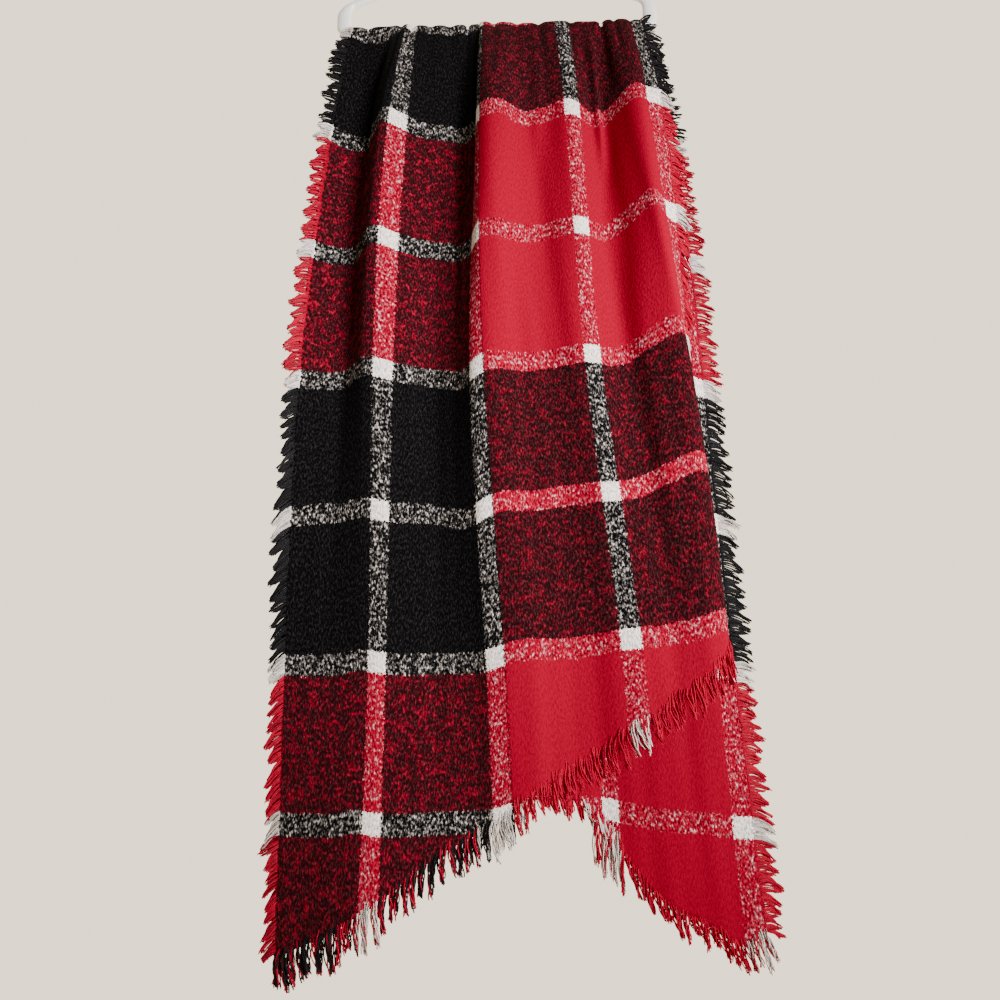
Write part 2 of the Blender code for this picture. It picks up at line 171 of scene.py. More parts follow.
FRONT_HANG = (
    Hang((-21.4, -24.8, -25.9, -26.1), (2.2, 2.8, 3.0, 1.9, 1.6)),
    Hang((-16.1, -19.2, -20.4, -20.9), (0.9, 0.9, 0.9, 2.0, 3.2)),
    Hang((-14.9, -17.2, -17.5, -18.5), (3.4, 4.0, 3.0, 2.7, 4.0)),
    Hang((-12.1, -13.9, -14.6, -15.4), (2.7, 3.0, 2.7, 2.7, 3.9)),
    Hang((-5.6, -8.2, -8.3, -8.9), (1.2, 1.3, 0.8, 1.6, 2.4)),
    Hang((-3.0, -5.3, -4.6, -4.5), (1.2, 1.7, 2.6, 2.2, 2.0)),
    Hang((-2.5, -2.8, -1.2, -0.6), (3.4, 4.4, 4.4, 3.2, 2.4)),
    Hang((0.0, 0.3, 2.0, 2.4), (3.8, 4.8, 3.8, 3.0, 2.4)),
    Hang((4.0, 4.9, 6.9, 7.3), (2.0, 2.0, 2.4, 1.9, 1.6)),
    Hang((9.2, 10.1, 12.8, 13.2), (2.7, 3.2, 3.2, 3.0, 2.4)),
    Hang((12.6, 14.3, 17.4, 18.0), (0.9, 0.8, 1.4, 2.6, 2.8)),
    Hang((16.9, 20.6, 22.9, 23.2), (3.2, 4.0, 3.6, 2.8, 2.8)),
    Hang((18.2, 21.6, 23.8, 24.0), (3.2, 3.8, 2.3, 1.5, 1.5)),
    Hang((20.9, 21.9, 22.4, 22.6), (2.0, 2.4, 0.9, 0.5, 0.5)),
)

BACK_HANG = (
    Hang((-20.6, -22.2, -23.2, -23.4), (2.4, 2.8, 2.6, 2.2, 2.0)),
    Hang((-15.6, -17.1, -17.6, -17.6), (1.0, 1.1, 1.3, 1.6, 1.8)),
    Hang((-14.0, -15.0, -15.0, -15.0), (2.8, 3.6, 3.0, 2.4, 2.2)),
    Hang((-11.4, -12.2, -12.2, -12.2), (2.4, 2.6, 2.0, 2.0, 2.0)),
    Hang((-5.6, -6.4, -6.3, -6.2), (1.1, 1.2, 1.5, 2.2, 2.2)),
    Hang((-3.0, -3.2, -2.6, -2.4), (1.0, 1.2, 3.0, 2.8, 2.4)),
    Hang((-1.4, -0.6, 0.2, 0.6), (2.8, 3.8, 2.8, 2.2, 2.0)),
    Hang((1.0, 1.9, 2.6, 2.8), (2.6, 3.0, 1.6, 1.4, 1.6)),
    Hang((4.9, 5.6, 6.2, 6.2), (1.2, 1.2, 1.6, 1.8, 1.8)),
    Hang((8.8, 9.6, 10.0, 10.2), (2.4, 3.4, 3.0, 2.6, 2.4)),
    Hang((12.9, 14.0, 14.6, 14.8), (1.0, 1.2, 1.8, 2.0, 1.9)),
    Hang((17.8, 19.6, 20.2, 20.8), (2.2, 3.0, 2.4, 1.6, 1.6)),
    Hang((19.8, 21.7, 22.4, 23.2), (2.0, 2.4, 1.9, 1.4, 1.6)),
    Hang((22.4, 24.5, 25.4, 26.6), (1.8, 2.0, 2.0, 1.8, 1.9)),
)

# Where pleats run over the bar, they start behind it; the cloth is pushed together there.
PLEAT_START = -3.0
PLEATS = tuple(
    Crease(top, end, PLEAT_START, length, width, height)
    for top, end, length, width, height in (
        (2.6, 2.0, 9.0, 0.75, 0.30),
        (8.9, 8.7, 13.0, 0.85, 0.34),
        (11.9, 12.0, 10.0, 0.60, 0.42),
        (15.4, 15.0, 8.0, 0.65, 0.22),
        (18.3, 18.8, 14.0, 0.80, 0.30),
        (21.9, 21.4, 11.0, 0.60, 0.38),
        (26.0, 26.6, 9.0, 0.55, 0.30),
        (30.2, 30.6, 12.0, 0.75, 0.36),
        (34.6, 34.0, 10.0, 0.70, 0.24),
        (38.4, 38.9, 13.0, 0.65, 0.32),
        (44.3, 43.8, 9.0, 0.60, 0.26),
        (49.6, 50.1, 15.0, 0.65, 0.48),
        (52.6, 52.9, 11.0, 0.60, 0.30),
        (56.3, 56.6, 8.0, 0.55, 0.26),
    )
)

CREASES = {
    Side.FRONT: (
        Crease(23.0, 23.9, 1.0, 50.0, 1.10, -0.75),
        Crease(20.2, 21.1, 4.0, 42.0, 1.30, 0.35),
        Crease(46.9, 47.4, 0.8, 27.0, 0.80, -1.10),
        Crease(38.2, 37.0, 2.0, 26.0, 0.90, -0.40),
        Crease(7.2, 6.4, 3.0, 44.0, 0.90, -0.45),
        Crease(16.4, 17.6, 14.0, 74.0, 1.60, 0.28),
        Crease(33.6, 32.0, 22.0, 88.0, 1.80, 0.25),
        Crease(49.9, 49.0, 30.0, 84.0, 1.20, -0.35),
        Crease(3.6, 4.4, 40.0, 108.0, 1.50, -0.30),
    ),
    Side.BACK: (
        Crease(5.4, 6.6, 2.0, 46.0, 1.00, -0.55),
        Crease(14.8, 16.2, 10.0, 66.0, 1.50, 0.30),
        Crease(24.6, 23.4, 1.0, 52.0, 1.10, -0.60),
        Crease(35.6, 37.4, 1.5, 40.0, 1.00, -0.50),
        Crease(40.2, 41.0, 24.0, 92.0, 1.70, 0.30),
        Crease(47.6, 46.4, 2.0, 36.0, 1.00, -0.60),
        Crease(52.2, 51.0, 34.0, 98.0, 1.40, -0.32),
    ),
}

RIPPLES = (
    Ripple(0.050, 1.31, 0.031, 1.1, 0.0, 0.05, 1.0, 1.0),
    Ripple(0.035, 2.23, -0.047, 1.7, 0.0, 0.083, 0.0, 2.0),
    Ripple(0.020, 0.9, 0.35, 1.3, 0.4, 0.0, 0.0, 0.0),
)
RUFFLE = Ripple(0.14, 0.0, 0.83, 1.9, 0.0, 0.19, 1.0, 0.0)

# The cloth's width between the selvedges, in centimetres.
WIDTH = 58.9

# The lengths of fall, in centimetres, over which its drop is added up.
FALL_STEPS = np.concatenate([
    np.arange(0.0, 3.0, 0.05), np.arange(3.0, 12.0, 0.25), np.arange(12.0, 126.0, 1.0)
])


def linear_colour(code: str) -> tuple[float, float, float, float]:
    """Turns an sRGB hex value into the linear colour that a shader takes.

    Args:
        code: the colour as "#RRGGBB".

    Returns:
        Red, green, blue and full alpha, linear.
    """
    parts = [int(code[i : i + 2], 16) / 255 for i in (1, 3, 5)]
    red, green, blue = (p / 12.92 if p <= 0.04045 else ((p + 0.055) / 1.055) ** 2.4 for p in parts)
    return red, green, blue, 1.0


def feed(tree: NodeTree, node: Node, values: Inputs) -> None:
    """Links or sets a node's inputs.

    Args:
        tree: the node tree.
        node: the node.
        values: output sockets to link or values to set, in the order of the inputs, or for
            each input by its name or number.
    """
    for key, value in values.items() if isinstance(values, dict) else enumerate(values):
        if isinstance(value, NodeSocket):
            tree.links.new(value, node.inputs[key])
        else:
            node.inputs[key].default_value = value


def add_node(
    tree: NodeTree, kind: str, values: Inputs = (), out: int | str = 0, **settings
) -> NodeSocket:
    """Adds a shader node to a tree with its settings and what feeds it.

    Args:
        tree: the node tree.
        kind: the node's type, without ShaderNode before it, and its operation if it has one.
        values: what feeds its inputs, as feed takes it.
        out: the name or number of the output that is wanted.
        settings: other properties of the node.

    Returns:
        That output.
    """
    kind, _, operation = kind.partition(" ")
    node = tree.nodes.new("ShaderNode" + kind)
    if operation:
        settings["operation"] = operation
    for name, value in settings.items():
        setattr(node, name, value)
    feed(tree, node, values)
    return node.outputs[out]


def start_material(name: str) -> tuple[Material, Node, Adder]:
    """Starts a material.

    Args:
        name: what the real one is.

    Returns:
        The material, its shader, and a function that adds a node to it.
    """
    made = bpy.data.materials.new(name)
    made.use_nodes = True
    return made, made.node_tree.nodes["Principled BSDF"], partial(add_node, made.node_tree)


def weighted_sum(node: Adder, total: float, *layers: tuple[NodeSocket, float]) -> NodeSocket:
    """Adds up layers of a material.

    Args:
        node: adds a node to the material.
        total: the number that they are added to.
        layers: each layer with its weight.

    Returns:
        The sum.
    """
    for layer, weight in layers:
        total = node("Math MULTIPLY_ADD", (layer, weight, total))
    return total


def add_object(name: str, data: bpy.types.ID) -> Object:
    """Puts something in the scene.

    Args:
        name: the object's name.
        data: its mesh, curve, lamp or camera.

    Returns:
        The object.
    """
    added = bpy.data.objects.new(name, data)
    bpy.context.scene.collection.objects.link(added)
    return added


def finished_mesh(bm: bmesh.types.BMesh, name: str, finish: Material) -> Mesh:
    """Turns a bmesh into a mesh of one material, and frees it.

    Args:
        bm: the bmesh.
        name: the mesh's name.
        finish: its material.

    Returns:
        The mesh.
    """
    mesh = bpy.data.meshes.new(name)
    bm.to_mesh(mesh)
    bm.free()
    mesh.materials.append(finish)
    return mesh


def spline_weights(knots: Array, at: Array) -> Array:
    """Weights of a natural cubic spline.

    Args:
        knots: the places of the knots, rising.
        at: the places to read it at, of any shape.

    Returns:
        The weights, with one more axis than at, of one weight for each knot.
    """
    knots, at = np.asarray(knots, float), np.asarray(at, float)
    count, gap = len(knots), np.diff(knots)
    system, slope_change = np.eye(count), np.zeros((count, count))
    for i in range(1, count - 1):
        near, far = gap[i - 1], gap[i]
        system[i, i - 1 : i + 2] = near, 2 * (near + far), far
        slope_change[i, i - 1 : i + 2] = 6 / near, -6 / near - 6 / far, 6 / far
    curvature = np.linalg.solve(system, slope_change)
    left = np.clip(np.searchsorted(knots, at) - 1, 0, count - 2)
    span, after = gap[left][..., None], (at - knots[left])[..., None]
    before = span - after
    unit = np.eye(count)
    return (
        unit[left] * before / span
        + unit[left + 1] * after / span
        + curvature[left] * (before**3 / span - span * before) / 6
        + curvature[left + 1] * (after**3 / span - span * after) / 6
    )


def smooth_step(t: Array) -> Array:
    """Gives 0 below 0, 1 above 1, and a smooth ramp between."""
    t = np.clip(t, 0.0, 1.0)
    return t * t * (3 - 2 * t)


@dataclass(frozen=True)
class Fall:
    """A fall of the cloth at n places across it, all in centimetres.

    The drop of each warp thread is added up from its own length, so that weft lines rise and
    dip over the folds as they do in cloth. A path or a reach is n by m: at each place, m
    lengths of cloth down from the bar's top, without or with what small crumples take up."""

    side: Side
    across: Array
    front_long_side: float = 112.7
    back_long_side: float = 112.0
    end_slant: float = 0.48
    bar_drop: float = 21.0
    bar_wrap: float = 0.635
    leaving_length: float = 6.5
    rise_length: float = 4.0
    level_left: float = -1.2
    level_right: float = 2.6
    level_turn: float = 25.0
    back_take_up: float = 1.2
    back_take_length: float = 8.0
    back_sag: float = 0.024
    settle_start: float = 45.0
    settle_length: float = 40.0
    hitch_start: float = 10.0
    hitch_end: float = 62.0
    hitch_blend: float = 22.0
    most_wrap: float = 0.97
    relief_start: float = 1.5
    relief_onset: float = 6.0
    back_turn: float = 2.1
    ruffle_width: float = 1.6
    crease_onset: float = 4.0
    crease_release: float = 2.5
    small_step: float = 0.02

    def folds(self) -> Array:
        """Gives how much each fold line weighs at each place."""
        return spline_weights([c.across for c in CRESTS], self.across)

    def crest(self, field: str) -> Array:
        """Reads a column of the crest table smoothly across the cloth."""
        return self.folds() @ np.array([getattr(c, field) for c in CRESTS])

    def tilt(self) -> Array:
        """Gives how far into the slanting right part of the weft lines each place lies."""
        return np.clip((self.across - self.level_turn) / (WIDTH - self.level_turn), 0.0, 1.0)

    def level(self) -> Array:
        """Gives the distance along the warp from weft line 0 to the bar's top."""
        base = self.level_left + (self.level_right - self.level_left) * self.tilt()
        return base + self.crest("pull")

    def take_up(self, reach: Array) -> Array:
        """Gives the length that the back fall loses in small crumples near the bar."""
        most = 0.0 if self.side is Side.FRONT else self.back_take_up
        return most * self.tilt()[:, None] * (1 - np.exp(-reach / self.back_take_length))

    def end(self) -> Array:
        """Works out where the slanted end is.

        Returns:
            The length of the fall from the bar's top at each place.
        """
        front = self.side is Side.FRONT
        longest = self.front_long_side if front else self.back_long_side
        own = self.crest("front_end" if front else "back_end")
        slant = self.end_slant * (self.across if front else WIDTH - self.across)
        return longest - slant + own - self.side.value * self.level()

    def along(self, reach: Array) -> Array:
        """Gives the distance along the warp from weft line 0, less than nothing behind it."""
        return self.level()[:, None] + self.side.value * reach

    def section(self, path: Array) -> tuple[Array, Array]:
        """Gives the sideways place and the depth of the cloth.

        Args:
            path: the paths down.

        Returns:
            Two arrays of n by m.
        """
        hang = FRONT_HANG if self.side is Side.FRONT else BACK_HANG
        drop_weights = spline_weights(DROPS, path)
        place, out = (
            np.einsum("nml,ln->nm", drop_weights, np.array(rows).T @ self.folds().T)
            for rows in ([(c.side, *h.sides) for c, h in zip(CRESTS, hang)], [h.outs for h in hang])
        )
        share = (out - self.bar_wrap) / (self.leaving_length - self.bar_wrap)
        share = np.clip(share, 0.0, self.most_wrap)
        wrap = self.bar_wrap * np.sin(np.minimum(path / self.bar_wrap, math.pi / 2))
        leave = self.leaving_length * (1 - np.exp(-path / self.leaving_length))
        return place, -self.side.value * ((1 - share) * wrap + share * leave)

    def main_form(self, reach: Array) -> Array:
        """Gives mid-wall points of the main folds.

        Args:
            reach: the lengths down.

        Returns:
            An array of n by m points.
        """
        path = reach - self.take_up(reach)
        steps = np.broadcast_to(FALL_STEPS, (len(path), len(FALL_STEPS)))
        place, depth = self.section(steps)
        run = np.diff(FALL_STEPS)
        lean = (np.diff(place, axis=1) / run) ** 2 + (np.diff(depth, axis=1) / run) ** 2
        fall = np.sqrt(np.clip(1 - lean, 0.0, 1.0)) * run
        fallen = np.concatenate([np.zeros((len(path), 1)), np.cumsum(fall, axis=1)], axis=1)
        drop = np.array([np.interp(p, FALL_STEPS, row) for p, row in zip(path, fallen)])
        place, depth = self.section(path)
        if self.side is Side.BACK:
            drop = drop * (1 + self.back_sag * self.tilt()[:, None])
        rise = np.maximum(self.crest("rise"), 0.0)[:, None] * np.exp(-path / self.rise_length)
        settled = smooth_step((path - self.settle_start) / self.settle_length)
        settle = self.side.value * self.crest("pull")[:, None] * settled
        onset = smooth_step((path - self.hitch_start) / self.hitch_blend)
        release = smooth_step((path - self.hitch_end) / self.hitch_blend)
        hitch = self.crest("hitch")[:, None] * onset * (1 - release)
        top = self.bar_wrap - self.bar_drop
        return np.stack([place, depth, top + rise - drop - settle + hitch], axis=-1)

    def relief(self, reach: Array) -> Array:
        """Gives how far the small creases stand out from the main folds.

        Args:
            reach: the lengths down.

        Returns:
            An array of n by m.
        """
        wide = self.across[:, None]
        turn = 0.0 if self.side is Side.FRONT else self.back_turn
        edge = np.minimum(wide, WIDTH - wide)
        ruffle = RUFFLE.at(wide, reach, turn) * np.exp(-edge / self.ruffle_width)
        height = sum(ripple.at(wide, reach, turn) for ripple in RIPPLES) + ruffle
        height = height * smooth_step((reach - self.relief_start) / self.relief_onset)
        for crease in PLEATS + CREASES[self.side]:
            share = (reach - crease.start) / (crease.end - crease.start)
            shift = (crease.across_end - crease.across_top) * np.clip(share, 0, 1)
            off = (wide - (crease.across_top + shift)) / crease.width
            release = smooth_step((1 - share) * self.crease_release)
            window = smooth_step(share * self.crease_onset) * release
            height = height + crease.height * window * np.exp(-(off**2))
        return height

    def surface(self, reach: Array) -> tuple[Array, ...]:
        """Gives mid-wall points with the creases, and the directions of the cloth there.

        Args:
            reach: the lengths down.

        Returns:
            Points in metres, and unit vectors outwards from the hanger, along the weft to the
            right, and along the warp downwards, each n by m by 3.
        """
        base = self.main_form(reach)
        weft = replace(self, across=self.across + self.small_step).main_form(reach) - base
        warp = self.main_form(reach + self.small_step) - base
        ways = np.cross(warp, weft) * -self.side.value, weft, warp
        outward, weft, warp = (v / np.linalg.norm(v, axis=-1, keepdims=True) for v in ways)
        return (base + outward * self.relief(reach)[..., None]) * CM, outward, weft, warp


@dataclass(frozen=True)
class BrushedTartan:
    """Brushed acrylic woven in a tartan: matt and soft, with next to no gloss.

    Where two dyes cross, the lighter yarn shows as puffs a few threads wide on the darker
    one, so the ground between solid squares looks marled. Sizes are in millimetres. The
    threads lie 1 mm apart and are drawn at about twice that, so that they still show from a
    step away. Weights and ranges are those of layers of noise that run from 0 to 1; a range
    of four gives the layer's two ends and what they turn into."""

    name: str = "brushed acrylic tartan twill"
    warp_pitch: float = 153.0
    warp_first: float = 117.5
    warp_stripe: float = 22.5
    warp_turn: float = 283.0
    weft_pitch: float = 166.0
    weft_stripe: float = 23.0
    cloth_width: float = 589.0
    thread: float = 2.0
    thread_stretch: Floats = (1.0, 0.5, 1.0)
    twill_turn: float = math.radians(52)
    twill_shift: float = 90.0
    puff: float = 4.4
    patch: float = 12.0
    nap: float = 2.0
    wander: float = 2.4
    stray: float = 6.0
    loose_edge: float = 0.5
    edge_sway: float = -5.0
    lie_weights: Floats = (0.40, 0.42, 0.18)
    sunk: float = -0.020
    curl_range: Floats = (0.465, 0.67)
    curl_crispness: float = 2.4
    curl_cover: Floats = (0.0, 1.0, 0.45, 0.46)
    tuft_range: Floats = (0.48, 0.68, 0.0, 0.50)
    ground: float = -0.91
    ground_patches: float = 1.15
    ground_threads: float = 0.58
    least_ground: float = 0.075
    red_warp_shade: float = -0.30
    blush: str = "#F0BFC6"
    # Fluff with a painted sheen: the threads' range where it shows and how much, then its grey and
    # its pinkish colour.
    fluff_and_sheen_range: Floats = (0.54, 0.80, 0.0, 0.0288)
    grey_fluff_and_sheen: str = "#9A959A"
    red_fluff_and_sheen: str = "#FF98A5"
    nap_contrast: float = 0.8
    nap_off_red: float = 1.4
    # Extra nap contrast on mixed squares, whose dark spots are painted shade between the curls.
    gap_shade_on_marl: float = 0.9
    least_shade: float = 0.2
    nap_height: float = 0.4
    relief: float = 0.6
    relief_depth: float = 1.2 * MM
    roughness: float = 0.95
    gloss: float = 0.02
    sheen: float = 0.01
    sheen_roughness: float = 0.5

    def stripe(
        self, node: Adder, place: NodeSocket, first: float, pitch: float, width: float
    ) -> NodeSocket:
        """Adds evenly spaced stripes.

        Args:
            node: adds a node to the material.
            place: millimetres across the stripes.
            first: the middle of a stripe.
            pitch: the distance between stripes.
            width: a stripe's width.

        Returns:
            A socket that is 1 in a stripe and 0 between.
        """
        start = node("Math SUBTRACT", (place, first - width / 2))
        turns = node("Math DIVIDE", (start, pitch))
        off = node("Math FRACT", (turns,))
        return node("Math LESS_THAN", (off, width / pitch))

    def brightness_step(self, node: Adder, red: NodeSocket, white: NodeSocket) -> NodeSocket:
        """Gives 0 where a yarn is black, 1 where it is red and 2 where it is white."""
        double = node("Math MULTIPLY", (white, 2.0))
        return node("Math MAXIMUM", (red, double))

    def dyed(self, node: Adder, step: NodeSocket) -> NodeSocket:
        """Gives the colour of a yarn.

        Args:
            node: adds a node to the material.
            step: its brightness step.

        Returns:
            The colour.
        """
        colour = linear_colour(Dye.BLACK.value)
        for least, dye in ((0.5, Dye.RED), (1.5, Dye.WHITE)):
            over = node("Math GREATER_THAN", (step, least))
            colours = {0: over, 6: colour, 7: linear_colour(dye.value)}
            colour = node("Mix", colours, 2, data_type="RGBA")
        return colour

    def material(self) -> Material:
        """Makes the cloth's material, read from the map of metres across and along.

        Returns:
            The material.
        """
        made, shader, node = start_material(self.name)
        place = node("UVMap", uv_map="weave")
        mm = node("VectorMath MULTIPLY", (place, (1 / MM,) * 3))

        # Stray threads blur the edges of the stripes by about a thread.
        noise = {"Vector": mm, "Scale": 1 / self.wander, "Detail": 1.0}
        wander = node("TexNoise", noise, 1, noise_dimensions="2D")
        spread = node("VectorMath SUBTRACT", (wander, (0.5,) * 3))
        stray = (spread, (self.stray, self.stray, 0.0), mm)
        moved = node("VectorMath MULTIPLY_ADD", stray)
        across, along, _ = node("SeparateXYZ", (moved,)).node.outputs

        # The warp is black on one side and red on the other; the weft changes every two squares.
        warp_red = node("Math GREATER_THAN", (across, self.warp_turn))
        warp_white = self.stripe(node, across, self.warp_first, self.warp_pitch, self.warp_stripe)
        warp = self.brightness_step(node, warp_red, warp_white)
        fold = node("Math ABSOLUTE", (along,))
        square = node("Math DIVIDE", (fold, self.weft_pitch))
        cycle = node("Math MODULO", (square, 4.0))
        weft_red = node("Math COMPARE", (cycle, 2.0, 1.0))
        weft_white = self.stripe(node, along, 0.0, self.weft_pitch, self.weft_stripe)
        weft = self.brightness_step(node, weft_red, weft_white)

        # The yarns' lie: threads along the twill, puffs of a few threads, and wide patches.
        lies = []
        for turn in (self.twill_turn, -self.twill_turn):
            twill = (mm, (self.twill_shift * turn, 0.0, 0.0), (0.0, 0.0, turn), self.thread_stretch)
            slanted = node("Mapping", twill)
            noise = {"Vector": slanted, "Scale": 1 / self.thread, "Detail": 1.0}
            lies.append(node("TexNoise", noise, noise_dimensions="2D"))
        threads = node("Math MAXIMUM", tuple(lies))
        puffs, patches = (
            node("TexNoise", {"Vector": mm, "Scale": 1 / size, "Detail": d}, noise_dimensions="2D")
            for size, d in ((self.puff, 1.5), (self.patch, 1.0))
        )
        lie = weighted_sum(node, 0.0, *zip((threads, puffs, patches), self.lie_weights))

        # Near the selvedges the warp is thin and the weft's own colour shows.
        plain = node("SeparateXYZ", (mm,))
        far = node("Math SUBTRACT", (self.cloth_width, plain))
        edge = node("Math MINIMUM", (plain, far))
        edge = node("Math MULTIPLY_ADD", (puffs, self.edge_sway, edge))
        loose = node("Math LESS_THAN", (edge, self.loose_edge))
        warp = node("Mix", {0: loose, 2: warp, 3: weft})

        # White yarn stands in crisp curls on a darker dye, and lets some of it through.
        high = node("Math MAXIMUM", (warp, weft))
        low = node("Math MINIMUM", (warp, weft))
        raised = node("Math MULTIPLY_ADD", (low, self.sunk, lie))
        stand = node("MapRange", (raised, *self.curl_range))
        curls = node("Math POWER", (stand, self.curl_crispness))
        cover = node("MapRange", (low, *self.curl_cover))
        curls = node("Math MULTIPLY", (curls, cover))

        # Red on black is a deep crimson ground of fine threads, with soft patches and a few puffs.
        tufts = node("MapRange", (puffs, *self.tuft_range))
        layers = (patches, self.ground_patches), (threads, self.ground_threads), (tufts, 1.0)
        ground = weighted_sum(node, self.ground, *layers)
        ground = node("Math MAXIMUM", (ground, self.least_ground))
        deep = node("Math MULTIPLY_ADD", (warp_red, self.red_warp_shade, 1.0))
        ground = node("Math MULTIPLY", (ground, deep))
        white = node("Math GREATER_THAN", (high, 1.5))
        share = node("Mix", {0: white, 2: ground, 3: curls})
        blush = node("Math COMPARE", (low, 1.0, 0.5))
        blush = node("Math MULTIPLY", (blush, white))
        colours = {0: blush, 6: self.dyed(node, high), 7: linear_colour(self.blush)}
        upper = node("Mix", colours, 2, data_type="RGBA")
        woven = node("Mix", {0: share, 6: self.dyed(node, low), 7: upper}, 2, data_type="RGBA")

        # Loose fluff, with a painted sheen, veils the squares that hold black yarn, most of all
        # where it stands up.
        fluff_and_sheen_amount = node("MapRange", (threads, *self.fluff_and_sheen_range))
        black = node("MapRange", (low, 0.0, 1.0, 1.0, 0.0))
        fluff_and_sheen_amount = node("Math MULTIPLY", (fluff_and_sheen_amount, black))
        reddish = node("Math COMPARE", (high, 1.0, 0.5))
        colours = {0: reddish, 6: linear_colour(self.grey_fluff_and_sheen), 7: linear_colour(self.red_fluff_and_sheen)}
        fluff_and_sheen = node("Mix", colours, 2, data_type="RGBA")
        fluff_and_sheen = node("VectorMath SCALE", {0: fluff_and_sheen, "Scale": fluff_and_sheen_amount})
        woven = node("VectorMath ADD", (woven, fluff_and_sheen))

        # The nap lies unevenly, so the shade changes over a few threads, least of all on red. The
        # strong dark spots on mixed squares are painted shade in the gaps between curls.
        noise = {"Vector": slanted, "Scale": 1 / self.nap, "Detail": 2.0}
        nap = node("TexNoise", noise, noise_dimensions="2D")
        off = node("Math SUBTRACT", (high, 1.0))
        off = node("Math ABSOLUTE", (off,))
        marl = node("Math SUBTRACT", (high, low))
        layers = (off, self.nap_off_red), (marl, self.gap_shade_on_marl)
        contrast = weighted_sum(node, self.nap_contrast, *layers)
        shade = node("Math SUBTRACT", (nap, 0.5))
        shade = node("Math MULTIPLY_ADD", (shade, contrast, 1.0))
        shade = node("Math MAXIMUM", (shade, self.least_shade))
        tinted = node("VectorMath SCALE", {0: woven, "Scale": shade})
        height = node("Math MULTIPLY_ADD", (nap, self.nap_height, lie))
        bump = {"Height": height, "Strength": self.relief, "Distance": self.relief_depth}
        looks = {
            "Base Color": tinted,
            "Normal": node("Bump", bump),
            "Roughness": self.roughness,
            "Specular IOR Level": self.gloss,
            "Sheen Weight": self.sheen,
            "Sheen Roughness": self.sheen_roughness,
        }
        feed(made.node_tree, shader, looks)
        return made


@dataclass(frozen=True)
class RavelledYarn:
    """Loose spun acrylic yarn of one dye: matt, with slubs and a shade that changes along it.

    Each range gives the slubs' two ends and what they turn into."""

    dye: Dye
    slub: float = 3.0 * MM
    slub_shades: Floats = (0.3, 0.7, 0.75, 1.10)
    relief: float = 0.4
    relief_depth: float = 0.4 * MM
    roughness: float = 0.95
    gloss: float = 0.05
    sheen: float = 0.06
    sheen_roughness: float = 0.5

    @property
    def strand_tones_and_light(self) -> tuple[float, float]:
        """The dullest and the brightest strand, as shares of the dye: partly the strands' own tone,
        partly painted light. Red strands are painted brighter than the dye to offset the shade
        among them, the black's brightest strands are painted highlights, and the white's dullest
        are painted shade between strands.
        """
        return {Dye.BLACK: (0.6, 7.0), Dye.RED: (1.05, 2.00), Dye.WHITE: (0.50, 1.06)}[self.dye]

    def material(self) -> Material:
        """Makes the yarn's material.

        Returns:
            The material.
        """
        made, shader, node = start_material(f"spun acrylic yarn {self.dye.name.lower()}")
        place = node("TexCoord", out="Object")
        slub = node("TexNoise", {"Vector": place, "Scale": 1 / self.slub, "Detail": 2.0})
        shade = node("MapRange", (slub, *self.slub_shades))
        # Each strand gets its own brightness: partly its tone, partly painted light and shade.
        strand = node("NewGeometry", out="Random Per Island")
        own = node("MapRange", (strand, 0.0, 1.0, *self.strand_tones_and_light))
        shade = node("Math MULTIPLY", (shade, own))
        tint = {0: linear_colour(self.dye.value)[:3], "Scale": shade}
        bump = {"Height": slub, "Strength": self.relief, "Distance": self.relief_depth}
        looks = {
            "Base Color": node("VectorMath SCALE", tint),
            "Normal": node("Bump", bump),
            "Roughness": self.roughness,
            "Specular IOR Level": self.gloss,
            "Sheen Weight": self.sheen,
            "Sheen Roughness": self.sheen_roughness,
        }
        feed(made.node_tree, shader, looks)
        return made


@dataclass(frozen=True)
class MouldedPlastic:
    """Injection-moulded white polypropylene: glossy, a little see-through, and handled, so
    that its gloss varies over a few centimetres."""

    colour: str = "#FBFBF9"
    mark: float = 25 * MM
    roughness_range: Floats = (0.0, 1.0, 0.22, 0.38)
    ripple: float = 0.08
    ripple_depth: float = 0.3 * MM
    depth: float = 4 * MM
    refraction: float = 1.49
    translucency: float = 0.15
    coat: float = 0.5
    coat_roughness: float = 0.12

    def material(self) -> Material:
        """Makes the plastic's material.

        Returns:
            The material.
        """
        made, shader, node = start_material("moulded white polypropylene")
        place = node("TexCoord", out="Object")
        marks = node("TexNoise", {"Vector": place, "Scale": 1 / self.mark, "Detail": 3.0})
        bump = {"Height": marks, "Strength": self.ripple, "Distance": self.ripple_depth}
        looks = {
            "Base Color": linear_colour(self.colour),
            "Roughness": node("MapRange", (marks, *self.roughness_range)),
            "Normal": node("Bump", bump),
            "IOR": self.refraction,
            "Subsurface Weight": self.translucency,
            "Subsurface Radius": (1.0, 1.0, 1.0),
            "Subsurface Scale": self.depth,
            "Coat Weight": self.coat,
            "Coat Roughness": self.coat_roughness,
        }
        feed(made.node_tree, shader, looks)
        return made


def link_piece(name: str, mesh: Mesh) -> Object:
    """Puts a mesh in the scene as a piece that rides on the part's one body.

    Args:
        name: the piece's name.
        mesh: its mesh, in place.

    Returns:
        The piece.
    """
    piece = add_object(name, mesh)
    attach(piece, "root")
    return piece


